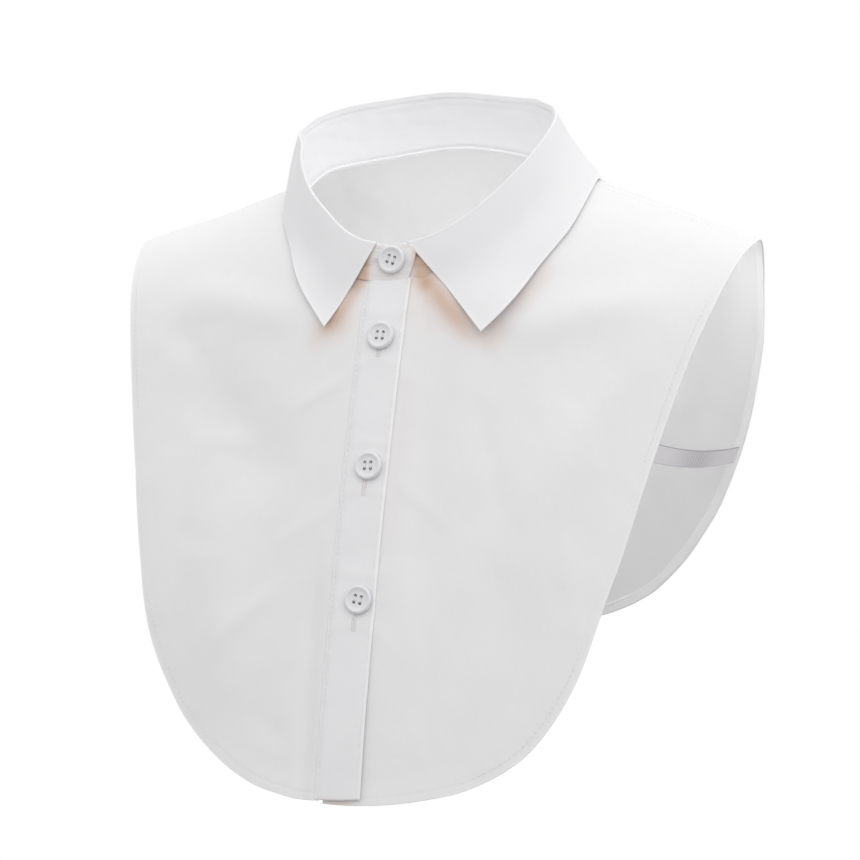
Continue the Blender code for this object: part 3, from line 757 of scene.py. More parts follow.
shirting = shirting_material("white_shirting", SHIRTING_COLOUR)
lined_shirting = shirting_material("lined_white_shirting", LINED_COLOUR)


def neckline(start_x, pitch_count, end_arc):
    """(x, length) along half the neckline at even steps, from start_x to the shoulder seam."""
    first = math.degrees(math.asin(start_x / NECK_HALF_WIDTH))
    x, arc = neck_point(np.linspace(first, SHOULDER_ANGLE + 2, 400))
    x, arc = x[arc > end_arc], arc[arc > end_arc]
    line = np.stack([np.append(x, x[-1]), np.append(arc, end_arc)], -1)
    line[0, 0] = start_x
    return evenly(line, pitch_count)


def band_lift(x, arc):
    """The right front rises to meet the buttonhole band, more so below the last button."""
    lift = BAND_UNDER + BAND_HANGS * eased(arc, *BAND_HANGS_FROM)
    return lift * (1 - eased(np.abs(x), *BAND_LIFTS_WITHIN))


for side, number, mirror, start_x, area in (
    ("left", 1, 1, -EXTENSION, 0.0412),
    ("right", 2, -1, -PLACKET_RIGHT - RIGHT_FRONT_UNDER_BAND, 0.0358),
):
    cut = evenly(front_cut(start_x, number), FRONT_COLUMNS)
    inner = neckline(start_x, FRONT_COLUMNS, SHOULDER_HALF_GAP)
    grid, from_edge = panel_rows(inner, cut, FRONT_PITCH, start_x, SHOULDER_HALF_GAP)
    x, arc = grid[..., 0] * mirror, grid[..., 1]
    lift = band_lift(x, arc) if side == "right" else 0.0
    mesh = panel_shell(f"{side}_front", x, arc, from_edge, arc, lift)
    front = add_piece(f"{side}_front", mesh, shirting, "shirting", f"front_{side}")
    lines = []
    hem_line = moved_in(cut, HEM_STITCH_IN, start_x, SHOULDER_HALF_GAP) * [mirror, 1]
    lines += both_faces(hem_line, *ON_HEM)
    fell_x = np.linspace(SHOULDER_FELL_FROM, SHOULDER_TIP - 2.0, 120) * mirror
    lines += both_faces(np.stack([fell_x, np.full(120, SHOULDER_FELL - 0.9)], -1), *ON_FELL)
    neck_line = np.stack(neck_point(np.linspace(12.0, SHOULDER_ANGLE - 1, 160), NECK_STITCH_BELOW), -1)
    lines += both_faces(neck_line * [mirror, 1], *ON_NECK_SEAM)[1:]
    sew(f"{side}_front_stitches", lines)

# ---- Back ----
# One panel of the same poplin. It falls from the shoulder seams behind the wearer, and its armholes and hem
# are turned in and topstitched like those of the fronts.
BACK_EDGE = (
    # half width, below the shoulder seam
    (166.5, 0.0),
    (160.5, 35.0),
    (159.0, 75.0),
    (152.0, 120.0),
    (139.0, 165.0),
    (121.0, 205.0),
    (98.0, 240.0),
    (55.0, 277.0),
    (0.0, 294.0),
)
BACK_COLUMNS = 186
BACK_PITCH = 2.4
ANY_X = -1000.0
ON_BACK_HEM = (0.25, 0.75)
AWAY_FROM_FELL = 99.0

x, arc = neck_point(np.linspace(SHOULDER_ANGLE - 2, 180.0, 300))
x, arc = x[-arc > SHOULDER_HALF_GAP], -arc[-arc > SHOULDER_HALF_GAP]
inner = evenly(np.stack([np.append(x[0], x), np.append(SHOULDER_HALF_GAP, arc)], -1), BACK_COLUMNS)
cut = evenly(cut_edge(BACK_EDGE, 0.0)[::-1], BACK_COLUMNS)
cut[:, 1] = np.maximum(cut[:, 1], SHOULDER_HALF_GAP)
inner, cut = (np.concatenate([half, half[-2::-1] * [-1, 1]])[::-1] for half in (inner, cut))
grid, from_edge = panel_rows(inner, cut, BACK_PITCH, ANY_X, SHOULDER_HALF_GAP)
x, arc = grid[..., 0], -grid[..., 1]
mesh = panel_shell("back_panel", x, arc, from_edge, np.full_like(arc, AWAY_FROM_FELL))
back = add_piece("back_panel", mesh, shirting, "shirting", "back")
lines = both_faces(moved_in(cut, HEM_STITCH_IN, ANY_X, SHOULDER_HALF_GAP) * [1, -1], *ON_BACK_HEM)
behind = np.linspace(SHOULDER_ANGLE + 1, 359 - SHOULDER_ANGLE, 240)
lines += both_faces(np.stack(neck_point(behind, NECK_STITCH_BELOW), -1), *ON_NECK_SEAM)[1:]
sew("back_stitches", lines)

# ---- Buttonhole band ----
# The folded and interlined band down the edge of the right front. It is stitched along both edges, and lies
# over the left front's button extension.
BAND_THICKNESS = 1.1
BAND_OUT = 1.1
BAND_TAPER = 0.6
BAND_TAPER_WIDTH = 4.5
BAND_TOP_GAP = 0.4
BAND_STITCH_IN = 1.6
BAND_SHORTER = (1.4, 2.8)
BUTTONHOLES = (
    # x, length below the shoulder seam at the upper and the lower end
    (1.2, 124.6, 140.4),
    (1.9, 192.5, 208.3),
    (3.0, 256.5, 273.0),
)
BAND_STITCHES = (78.0, 343.0)
BAND_STOPS = (75.0, 130.0, 194.0, 258.0)
BAND_BOW = 0.15
BAND_RESTS = 0.25
# a painted highlight along the band's free folded edge, weaker below where the edge hangs away
BAND_HIGHLIGHT_WITHIN = (1.7, 0.8)
BAND_EDGE_HIGHLIGHT = 0.8
BAND_HIGHLIGHT_FADES = 0.45
BAND_HIGHLIGHT_FADES_FROM = (262.0, 285.0)
BAND_GROOVE = 0.1
BAND_LEAST = 0.2
BAND_COLUMNS = (0, 0.05, 0.15, 0.3, 0.5, 0.9, 1.4, 2.0)
BAND_ROWS = (0, 0.0003, 0.001, *np.linspace(0.003, 0.994, 230), 0.996, 0.998, 0.999, 1)
SATIN_PITCH = 0.32
SATIN_REACH = 1.15
SATIN_RISE = 0.16
SATIN_SINKS = 0.08
SATIN_BAR = 0.9
SATIN_SIDES = 6
# painted brown shade along the satin's outer ends, where the buttonhole's edges are in shadow
SATIN_EDGE_PAINTED_SHADE = (0.0, 0.0, 0.04, 0.2, 0.24)
SATIN_RADIUS = 0.2
SLIT = 0.15


def work_buttonholes(name, holes):
    """Adds buttonholes. Each is (points, normals) along its slit. Both sides of it hold close satin stitches,
    tubes across the slit's edge that arch as a half sine, and longer ones close its ends as bars."""
    u = np.linspace(0, 1, len(SATIN_EDGE_PAINTED_SHADE))
    rise = SATIN_RISE * np.sin(np.pi * (0.3 + 0.7 * u)) - SATIN_SINKS
    groups = []
    for points, normals in holes:
        along = run_along(points)
        at = np.arange(0.0, along[-1], SATIN_PITCH)
        place, up = read_off(at, along, points), read_off(at, along, normals)
        run = unit(np.gradient(place, axis=0))
        across = np.cross(up, run)[:, None]
        bar = (at < SATIN_BAR) | (at > at[-1] - SATIN_BAR)
        reach = np.where(bar, 0.0, SLIT)[:, None] * (1 - u) + SATIN_REACH * u
        for side in (-1, 1):
            centre = place[:, None] + across * (side * reach)[..., None] + up[:, None] * rise[:, None]
            ring = turned_rings(SATIN_SIDES, -side * run, up)[:, None]
            groups.append(centre[:, :, None] + ring * SATIN_RADIUS)
    mesh = tube_mesh(name, groups)
    # painted shade towards each satin stitch's outer end
    painted_shade = np.repeat(SATIN_EDGE_PAINTED_SHADE, SATIN_SIDES)
    shaded(mesh, "painted_shade", np.tile(painted_shade, len(mesh.vertices) // len(painted_shade)))
    add_piece(name, mesh, lined_shirting, "shirting")


def band_height(x, arc):
    """The band's height over the fronts: a free edge that lifts a little between the buttons and more below
    the last one."""
    bow = np.zeros_like(x)
    for low, high in zip(BAND_STOPS[:-1], BAND_STOPS[1:]):
        bow = bow + np.sin(np.pi * np.clip((arc - low) / (high - low), 0, 1)) ** 2
    free = eased(x, -2.0, PLACKET_LEFT)
    below = eased(arc, *BAND_HANGS_FROM)
    return BAND_OUT + BAND_HANGS * below + free * BAND_BOW * bow - BAND_RESTS * free * (1 - below)


def on_band(x, arc, out):
    """Points at a height over the band's middle, with their normals."""
    return on_cloth(x, arc, band_height(x, arc) + out)


near = np.array(BAND_COLUMNS)
between = np.linspace(PLACKET_RIGHT + 2.8, PLACKET_LEFT - 2.8, 16)
across = np.concatenate([PLACKET_RIGHT + near, between, (PLACKET_LEFT - near)[::-1]])
edge = cut_edge(FRONT_EDGE, PLACKET_RIGHT)
bottom = np.interp(across, edge[:, 0], edge[:, 1])
bottom = bottom - np.interp(across, (PLACKET_RIGHT, PLACKET_LEFT), BAND_SHORTER)
top = neck_point(np.degrees(np.arcsin(across / NECK_HALF_WIDTH)))[1] + BAND_TOP_GAP
share = np.array(BAND_ROWS)[:, None]
arc = top * (1 - share) + bottom * share
x = np.broadcast_to(across, arc.shape)
stitched_lines = (PLACKET_RIGHT + BAND_STITCH_IN, PLACKET_LEFT - BAND_STITCH_IN)
sewn = sum(bell(x, line, 0.7) for line in stitched_lines)
pucker = HEM_PUCKER * np.sin(2 * np.pi * arc / HEM_PUCKER_LENGTH + x / 3)
middle, normal = on_band(x, arc, (pucker - BAND_GROOVE) * sewn)
half = BAND_THICKNESS / 2 * rounded(edge_distances(middle), 1.6 * BAND_THICKNESS)
over = half - BAND_TAPER * (1 - eased(x, PLACKET_RIGHT, PLACKET_RIGHT + BAND_TAPER_WIDTH))
mesh = shell_mesh("buttonhole_band", middle, normal, np.maximum(over, BAND_LEAST - half), half, x, arc)
# painted warm shade where the leaf shadows the band
shaded(mesh, "painted_shade", ridges(x, arc, PAINTED_WARM_SHADE), 0.0)
# painted highlight along the band's free edge, fading below
whiter = BAND_EDGE_HIGHLIGHT - BAND_HIGHLIGHT_FADES * eased(arc, *BAND_HIGHLIGHT_FADES_FROM)
folded = eased(x, *(PLACKET_LEFT - within for within in BAND_HIGHLIGHT_WITHIN))
shaded(mesh, "folded", whiter * folded, 0.0)
band = add_piece("buttonhole_band", mesh, lined_shirting, "shirting", "placket")
line_arc = np.linspace(*BAND_STITCHES, 300)
stitch_height = BAND_THICKNESS / 2 - BAND_GROOVE
lines = [on_band(np.full(300, line_x), line_arc, stitch_height) for line_x in stitched_lines]
sew("band_stitches", lines)
holes = []
for hole_x, high, low in BUTTONHOLES:
    holes.append(on_band(np.full(60, hole_x), np.linspace(high, low, 60), BAND_THICKNESS / 2))
work_buttonholes("band_buttonholes", holes)

# ---- Collar stand ----
# The upright band round the neck, two layers with an interlining, sewn to the neckline. Its right end runs
# over the left one as a tab, and closes with the top button.
STAND_HEIGHT = (16.9, 28.4, 27.8)
STAND_LEAN = (10.0, 1.0, 5.0)
STAND_THICKNESS = 0.8
STAND_SWAY = -6.0
STAND_SWAY_ANGLES = (92.0, 132.0, 264.0, 281.0)
STAND_HELD_AT = 142.0
STAND_HELD_WIDTH = 14.0
STAND_DIP = 3.2
STAND_DIP_AT = 254.0
STAND_DIP_WIDTH = 24.0
STAND_HUMP = 2.4
STAND_HUMP_AT = 325.0
STAND_HUMP_WIDTH = 13.0
STAND_BELOW_SEAM = 1.2
STAND_TOP_STITCH = 2.3
STAND_SEAM_STITCH = 1.8
TAB_END = ((0.0, 11.0), (0.45, 13.6), (0.7, 14.2), (0.86, 13.2), (0.95, 11.2), (1.0, 8.6))
TAB_BENDS_FROM = 6.0
# painted warm shade on the stand's outer face: a little all round, and more beside the tab where the leaf's
# front ends shadow it
TAB_PAINTED_SHADE = 0.1
UNDER_LEAF_PAINTED_SHADE = 0.65
UNDER_LEAF_FROM = (9.5, 13.5)
STAND_CREASES = (
    # length round the neck and height on the stand at each end, half width, height
    (12.0, 5.0, 30.0, 3.6, 0.9, -0.5),
    (12.0, 8.6, 32.0, 7.8, 1.0, 0.45),
    (13.0, 11.0, 30.0, 11.4, 0.8, -0.5),
    (-9.0, 12.6, -26.0, 11.0, 0.9, -0.45),
    (-8.0, 6.4, -24.0, 5.0, 0.9, -0.4),
)
STAND_RUCKS = (
    # seed, shortest and longest wave, height, stretch round the neck, stretch up the stand
    (21, 12.0, 34.0, 0.34, 1.0, 2.6),
    (22, 8.0, 18.0, 0.13, 1.3, 1.3),
)
STAND_EDGE = (0, 0.05, 0.15, 0.35, 0.7, 1.2)
STAND_ROWS = (*np.linspace(0.03, 0.72, 22), *np.linspace(0.74, 0.965, 22), 0.975, 0.985, 0.992, 0.997, 1.0)
STAND_RADIUS = 62.0
STAND_PUCKER_LENGTH = 5.4
STITCH_GROOVE_WIDTH = 0.42
STAND_GROOVES = (0.15, 0.3)
STAND_TOP_ROLL = (0.2, 1.1, 0.7)
STAND_LINING_ROLL = (0.22, STAND_TOP_STITCH + 2.0, 1.1)
TAB_STITCH_IN = 1.7
TAB_HOLE = (-7.4, 4.0)
TAB_BUTTON_HEIGHT = 9.5
TAB_LIFT = 1.55
TAB_LIFT_FROM = 300.0
TAB_LIFT_TO = 345.0


def front_to_back(angle, values):
    """A value round the neck: the parabola through those given at its front, side and back."""
    k = (1 - np.cos(np.radians(angle))) / 2
    front, side, back = values
    return front * (1 - k) * (1 - 2 * k) + side * 4 * k * (1 - k) + back * k * (2 * k - 1)


def stand_height(angle):
    """The stand's height round the neck: less behind the wearer's right shoulder, and more before it."""
    dip = STAND_DIP * bell(angle, STAND_DIP_AT, STAND_DIP_WIDTH)
    hump = STAND_HUMP * bell(angle, STAND_HUMP_AT, STAND_HUMP_WIDTH)
    return front_to_back(angle, STAND_HEIGHT) - dip + hump


def neck_normal(angle):
    """The neckline's outward normal, level, at right angles to the way that it runs."""
    run = np.stack(neck_plan(angle + 1.0, 0.0), -1) - np.stack(neck_plan(angle - 1.0, 0.0), -1)
    return unit(np.stack([run[..., 1], -run[..., 0], np.zeros_like(run[..., 0])], -1))


def stand_at(angle, rise):
    """Points of the stand at a height in millimetres over the neckline: out from it by the tab's lift, and up
    along a line that leans inwards. Behind the neck it sways to the wearer's right as it rises, but not at
    the back of the left shoulder."""
    angle, rise = np.broadcast_arrays(np.asarray(angle, float), np.asarray(rise, float))
    x, arc = neck_point(angle)
    base = plain_form(x, arc)
    lift = TAB_LIFT * eased(angle, TAB_LIFT_FROM, TAB_LIFT_TO)
    lean = np.radians(front_to_back(angle, STAND_LEAN))
    out = neck_normal(angle) * (lift - np.sin(lean) * rise)[..., None]
    first, full, fading, last = STAND_SWAY_ANGLES
    sway = STAND_SWAY * eased(angle, first, full) * (1 - eased(angle, fading, last))
    sway = sway * (1 - bell(angle, STAND_HELD_AT, STAND_HELD_WIDTH))
    sway = sway * rise / stand_height(angle)
    return base + out + np.stack([sway, 0 * sway, np.cos(lean) * rise], -1)


near = np.array(STAND_EDGE)
ends = np.degrees(np.arcsin(TAB_END[0][1] / NECK_HALF_WIDTH))
angles = np.concatenate([near - ends, np.linspace(2.0 - ends, 358.0 + ends, 300), (360 + ends - near)[::-1]])
low = np.repeat(near[:, None] - STAND_BELOW_SEAM, len(angles), 1)
height = stand_height(angles)
rise = np.concatenate([low, np.array(STAND_ROWS)[:, None] * height])
end_x = np.interp(rise / height, *np.array(TAB_END).T)
end_angle = np.degrees(np.arcsin(end_x / NECK_HALF_WIDTH)) - ends
bends = eased(angles, 360 - TAB_BENDS_FROM, 360 + ends) - 0.5 * eased(-angles, -TAB_BENDS_FROM, ends)
angles = angles + end_angle * bends
round_neck = np.radians(angles) * STAND_RADIUS
to_top = stand_height(angles) - rise
normal = neck_normal(angles)
ruck = sum(rumple(round_neck * across, rise * up, *row) for *row, across, up in STAND_RUCKS)
ruck = ruck * eased(np.minimum(rise, to_top), 0.0, 6.0)
from_middle = np.radians((angles + 180) % 360 - 180) * NECK_HALF_WIDTH
ruck = ruck + ridges(from_middle, rise, STAND_CREASES)
middle = stand_at(angles, rise) + normal * ruck[..., None]
stitched = bell(to_top, STAND_TOP_STITCH, STITCH_GROOVE_WIDTH)
stitched = stitched + 0.6 * bell(rise, STAND_SEAM_STITCH, STITCH_GROOVE_WIDTH)
pucker = HEM_PUCKER * np.sin(2 * np.pi * round_neck / STAND_PUCKER_LENGTH)
(top_roll, *at_top), (lining_roll, *at_lining) = STAND_TOP_ROLL, STAND_LINING_ROLL
roll = top_roll * bell(to_top, *at_top) + (lining_roll + pucker) * bell(to_top, *at_lining)
wall = STAND_THICKNESS / 2 * rounded(edge_distances(middle), STAND_THICKNESS)
over, under = (wall - groove * stitched for groove in STAND_GROOVES)
mesh = shell_mesh("stand", middle, normal, over, under + roll, round_neck, rise)
# painted warm shade beside the tab, under the leaf's front ends
under_leaf = eased(np.abs(from_middle - 2.0), *UNDER_LEAF_FROM) * (np.abs(from_middle) < 60)
shaded(mesh, "painted_shade", TAB_PAINTED_SHADE + UNDER_LEAF_PAINTED_SHADE * under_leaf, 0.0)
stand = add_piece("stand", mesh, lined_shirting, "shirting", "collar_stand")


def stand_line(angle, rise, face):
    """A stitched line on the stand's outer (1) or inner (-1) face."""
    normals = neck_normal(angle) * face
    return stand_at(angle, rise) + normals * (STAND_THICKNESS / 2 - (0.05 if face > 0 else 0.2)), normals


around = np.linspace(1.5 - ends, 358.5 + ends, 400)
across_tab = np.degrees(np.linspace(-8.0, 9.0, 40) / NECK_HALF_WIDTH) + 360
up_tab = np.linspace(0.1, 0.9, 40)
end_x = np.interp(up_tab, *np.array(TAB_END).T) - TAB_STITCH_IN
end_angle = 360 + np.degrees(np.arcsin(end_x / NECK_HALF_WIDTH))
lines = [
    stand_line(around, stand_height(around) - STAND_TOP_STITCH, -1),
    stand_line(across_tab, np.full(40, STAND_SEAM_STITCH), 1),
    stand_line(around, np.full(400, STAND_SEAM_STITCH), -1),
    stand_line(end_angle, up_tab * stand_height(end_angle), 1),
]
sew("stand_stitches", lines)
hole_angle = 360 + np.degrees(np.linspace(*TAB_HOLE, 60) / NECK_HALF_WIDTH)
hole = stand_line(hole_angle, np.full(60, TAB_BUTTON_HEIGHT), 1)
work_buttonholes("tab_buttonhole", [hole])

# ---- Neck seam ----
# The turned edge of the stand's lining, a narrow raised welt round the inside of the neckline, that covers
# the seam where the fronts and the back are sewn to the stand.
WELT_RADIUS = 0.5
WELT_RISE = 0.3
WELT_IN = 0.55
WELT_SIDES = 12
UP = np.array([0.0, 0.0, 1.0])

angle = np.linspace(-ends, 360 + ends, 420)
side = neck_normal(angle)
centre = stand_at(angle, WELT_RISE) - side * (STAND_THICKNESS / 2 + WELT_IN)
welt = centre[:, None] + turned_rings(WELT_SIDES, side, -UP) * WELT_RADIUS
mesh = tube_mesh("neck_welt", [welt[None]])
# painted highlight: the whole welt takes the white of the folds
shaded(mesh, "folded", np.ones(len(mesh.vertices)))
add_piece("neck_welt", mesh, shirting, "shirting")

# ---- Collar leaf ----
# The turned-down collar with two points, two layers with a crisp interlining. It is sewn into the top of the
# stand, rolls over it and lies on the fronts and the back.
LEAF_THICKNESS = 0.7
LEAF_ROLL = 0.55
LEAF_ROLL_END = 12.0
LEAF_START_LEFT = 9.8
LEAF_START_RIGHT = 6.4
LEAF_ABOVE_STAND = 0.2
LEAF_CLEAR = (2.8, 1.4, 1.4)
LEAF_BULGE = (-0.4, -1.0, 0.0)
LEAF_BOW_AT = 0.45
LEAF_BOW_UP = 0.35
LEAF_SHIFT = 9.4
RIGHT_LEAF_TURN = 3.3
RIGHT_LEAF_IN = 2.6
RIGHT_LEAF_IN_AT = 64.0
RIGHT_LEAF_IN_WIDTH = 18.0
RIGHT_LEAF_FLARE = 2.4
RIGHT_LEAF_FLARE_AT = 0.84
RIGHT_LEAF_FLARE_LENGTH = 0.45
LEFT_LEAF_HOLLOW = 2.6
LEFT_LEAF_HOLLOW_AT = 0.55
LEFT_LEAF_HOLLOW_LENGTH = 0.28
LEFT_TIP_CURL = 6.0
LEFT_TIP_CURL_FROM = 0.3
RIGHT_SIDE_BULGE = 2.0
RIGHT_SIDE_BULGE_AT = 272.0
RIGHT_SIDE_BULGE_WIDTH = 30.0
LEAF_ENDS = (0, 0.04, 0.12, 0.25, 0.45, 0.8)
LEAF_SEAM_ROWS = (-0.6, -0.3, 0.1, 0.5)
LEAF_ROWS = (*np.linspace(0.01, 0.965, 44), 0.975, 0.983, 0.989, 0.993, 0.996, 0.998, 0.9992, 1.0)
LEAF_RADIUS = 70.0
LEAF_RUMPLE = (31, 16.0, 44.0, 0.16)
SEAM_BEAD = 0.12
LEAF_EDGE = (
    # angle round the fold from the front, half width, length from the shoulder seam (negative: on the back)
    (3.0, 38.9, 121.0),
    (30.0, 54.5, 96.0),
    (52.0, 65.5, 73.0),
    (72.0, 76.2, 47.0),
    (88.0, 79.6, 27.0),
    (104.0, 80.0, 6.0),
    (126.0, 76.0, -17.0),
    (152.0, 46.0, -36.0),
    (180.0, 0.0, -44.0),
)


def leaf_edge(angles):
    """(x, length) of the leaf's outer edge. Both points hang a little to the left, the right one lower."""
    table = np.array(LEAF_EDGE)
    front_share = (1 + np.cos(np.radians(angles))) / 2
    right = angles > 180
    folded = np.where(right, 360 - angles - RIGHT_LEAF_TURN * front_share, angles)
    side = np.where(right, -1.0, 1.0)
    less = RIGHT_LEAF_IN * right * bell(folded, RIGHT_LEAF_IN_AT, RIGHT_LEAF_IN_WIDTH)
    x = side * (through(table[:, 0], table[:, 1], folded) - less) + LEAF_SHIFT * front_share
    return x, through(table[:, 0], table[:, 2], folded)


def grid_normals(points):
    """The unit normals of a grid of points: the cross product of its steps along its rows and columns."""
    return unit(np.cross(np.gradient(points, axis=0), np.gradient(points, axis=1)))


first = math.degrees(math.asin(LEAF_START_LEFT / NECK_HALF_WIDTH))
last = 360 - math.degrees(math.asin(LEAF_START_RIGHT / NECK_HALF_WIDTH))
end = np.array(LEAF_ENDS)
angles = np.concatenate([first + end, np.linspace(first + 1.3, last - 1.3, 300), (last - end)[::-1]])
top = stand_at(angles, stand_height(angles))
out = neck_normal(angles)
rows = [top + UP * rise for rise in LEAF_SEAM_ROWS]
for turn in np.radians(np.linspace(180, LEAF_ROLL_END, 12)):
    rolled = out * (1 + math.cos(turn)) + UP * math.sin(turn)
    rows.append(top + UP * LEAF_ABOVE_STAND + rolled * LEAF_ROLL)
fold = rows[-1]
edge_x, edge_arc = leaf_edge(angles)
edge_lift = ridges(edge_x, edge_arc, FOLDS) + front_to_back(angles, LEAF_CLEAR)
edge = raised(edge_x, edge_arc, edge_lift)[0]
bulge = (out + UP * LEAF_BOW_UP) * 2 * front_to_back(angles, LEAF_BULGE)[:, None]
bow = fold * (1 - LEAF_BOW_AT) + edge * LEAF_BOW_AT + bulge
forward = np.cos(np.radians(angles))
left_leaf = eased(forward, -0.1, 0.5) * (angles < 180)
right_leaf = eased(forward, 0.35, 0.85) * (angles > 180)
left_tip = eased(forward, 0.62, 1.0) * (angles < 180)
right_side = bell(angles, RIGHT_SIDE_BULGE_AT, RIGHT_SIDE_BULGE_WIDTH)
for t in LEAF_ROWS:
    hollow = LEFT_LEAF_HOLLOW * left_leaf * bell(t, LEFT_LEAF_HOLLOW_AT, LEFT_LEAF_HOLLOW_LENGTH)
    flare = RIGHT_LEAF_FLARE * right_leaf * bell(t, RIGHT_LEAF_FLARE_AT, RIGHT_LEAF_FLARE_LENGTH)
    inwards = (hollow + flare * min(t / 0.3, 1)) * (1 - t**6)
    curl = LEFT_TIP_CURL * left_tip * max(t - LEFT_TIP_CURL_FROM, 0) ** 2
    outwards = curl + RIGHT_SIDE_BULGE * right_side * 4 * t * (1 - t)
    down = fold * (1 - t) ** 2 + bow * 2 * t * (1 - t) + edge * t**2
    rows.append(down + out * (outwards - inwards)[:, None])
middle = np.array(rows)
normal = grid_normals(middle)
run_down = run_along(middle)
round_leaf = np.radians(angles)[None] * LEAF_RADIUS + 0 * run_down
from_edge = edge_distances(middle)
lift = rumple(round_leaf, run_down, *LEAF_RUMPLE) * eased(run_down, 6.0, 20.0)
middle = middle + normal * lift[..., None]
half = LEAF_THICKNESS / 2 * rounded(from_edge, LEAF_THICKNESS)
bead = SEAM_BEAD * bell(from_edge, 0.9, 0.7) * eased(run_down, 4.0, 8.0)
mesh = shell_mesh("leaf", middle, normal, half + bead, half, round_leaf, run_down)
# painted highlight along the leaf's turned edges
shaded(mesh, "folded", 0.7 * (1 - eased(from_edge, 0.4, 1.4)) * eased(run_down, 4.0, 8.0), 0.0)
leaf = add_piece("leaf", mesh, lined_shirting, "shirting", "collar_leaf")

# ---- Side elastics ----
# A ribbed woven elastic under each arm, sewn to the inside of the front's and the back's hems. It sags a
# little. Its knots show as light dots on a web painted dark as shade between them, and towards the middle of
# its length it is darker, with knots that stand out more.
ELASTIC_WIDTH = 10.0
ELASTIC_THICKNESS = 0.8
ELASTIC_FRONT = (133.0, 138.0)
ELASTIC_BACK = (147.0, 137.5)
ELASTIC_SLANT_FRONT = 0.2
ELASTIC_SLANT_BACK = 0.3
ELASTIC_SAG = 3.0
ELASTIC_INSIDE = -1.5
RIB_PITCH = 1.6
WEB_PITCH = 1.9
RIB_HEIGHT = 0.2
KNOT_LEVEL = 0.82
KNOT_CONTRAST = 0.15
# darker towards the middle of the elastic's length, with knots that stand out more there
MIDDLE_DARKER_AT = (0.55, 0.2)
MIDDLE_DARKER_LEVEL = 0.3
MIDDLE_CONTRAST = 0.5
LOWER_EDGE = -4.5
LOWER_EDGE_DARKER = 0.7
# painted shade: the web between the knots, dark where the ribs dip
PAINTED_SHADE_BETWEEN_KNOTS = (0.36, 0.34, 0.37, 1.0)
KNOTS = (0.92, 0.9, 0.93, 1.0)

elastic_web, web_shader = plain_finish("white_elastic", PAINTED_SHADE_BETWEEN_KNOTS, 0.7)
web_tree = elastic_web.node_tree
web_tree.links.new(toward(web_tree, PAINTED_SHADE_BETWEEN_KNOTS, "knot", KNOTS), web_shader.inputs["Base Color"])
across = np.linspace(-ELASTIC_WIDTH / 2, ELASTIC_WIDTH / 2, 45)
along = np.linspace(0, 1, 331)[:, None, None]
ends = []
for x, arc in (
    (ELASTIC_FRONT[0] - across * ELASTIC_SLANT_FRONT, ELASTIC_FRONT[1] + across),
    (ELASTIC_BACK[0] - across * ELASTIC_SLANT_BACK, -ELASTIC_BACK[1] - across),
):
    ends.append(raised(x, arc, ridges(x, arc, FOLDS) + ELASTIC_INSIDE)[0])
middle = ends[0] * (1 - along) + ends[1] * along - UP * ELASTIC_SAG * 4 * along * (1 - along)
length = np.linalg.norm((ends[0] - ends[1])[len(across) // 2])
run = along[..., 0] * length + 0 * across
normal = -grid_normals(middle)
ribs = np.cos(2 * np.pi * across / RIB_PITCH) * np.cos(2 * np.pi * run / WEB_PITCH)
middle_darker = bell(run / length, *MIDDLE_DARKER_AT)
# light knots on the ribs, painted shade in the web between, and darker towards the middle
knot = KNOT_LEVEL - MIDDLE_DARKER_LEVEL * middle_darker + (KNOT_CONTRAST + MIDDLE_CONTRAST * middle_darker) * ribs
knot = knot - LOWER_EDGE_DARKER * (across < LOWER_EDGE)
half = (ELASTIC_THICKNESS / 2 + RIB_HEIGHT * ribs) * rounded(edge_distances(middle), ELASTIC_THICKNESS)
for side, mirror in (("left", [1, 1, 1]), ("right", [-1, 1, 1])):
    mesh = shell_mesh(f"{side}_elastic", middle * mirror, normal * mirror, half, half, across + 0 * run, run)
    shaded(mesh, "knot", knot, knot)
    web = add_piece(f"{side}_elastic", mesh, elastic_web, "elastic", f"elastic_{side}")

# ---- Buttons ----
# Four pearly moulded buttons with a raised rim and a dished middle, each sewn on through its four holes with
# white thread.
BUTTON_PROFILE = (
    # radius, height
    (0.0, 1.7),
    (1.8, 1.68),
    (3.3, 1.7),
    (4.2, 1.82),
    (4.9, 2.05),
    (5.4, 2.28),
    (5.8, 2.36),
    (6.2, 2.3),
    (6.55, 2.05),
    (6.78, 1.65),
    (6.84, 1.2),
    (6.78, 0.7),
    (6.55, 0.3),
    (6.1, 0.05),
    (5.0, 0.0),
    (0.0, 0.0),
)
HOLE_RADIUS = 0.85
HOLE_OFFSET = 1.55
BUTTON_TURNS = (-17.0, -3.0, 2.0, -10.0)
BUTTON_SINKS = (0.6, 0.9, 0.9, 0.9)
BUTTON_RINGS = 44
BUTTON_SIDES = 72
BUTTON_SHARP = 35.0
HOLE_SIDES = 24
DRILL = (-1.0, 4.0)
STRAND_RADIUS = 0.22
STRAND_RINGS = 17
STRAND_SIDES = 8
STRAND_REACH = HOLE_OFFSET - 0.4
STRAND_ACROSS = 1.35
STRAND_STEEP = (1.6, 0.8)
THREAD_TOP = 1.85
THREAD_DOWN = -1.2
BUTTON_GAP = 0.5
PLACKET_OUT = 1.55
PLACKET_WALL = 1.0
STAND_WALL = 1.2
TAB_BUTTON_X = 2.5
TAB_TOP = 16.5
X_AXIS = np.array([1.0, 0.0, 0.0])
Y_AXIS = np.array([0.0, 1.0, 0.0])

pearl, pearl_shader = plain_finish("pearl_button", (0.78, 0.775, 0.8, 1.0), 0.25)
pearl_shader.inputs["Coat Weight"].default_value = 0.4
thread = plain_finish("sewing_thread", (0.86, 0.86, 0.87, 1.0), 0.6)[0]

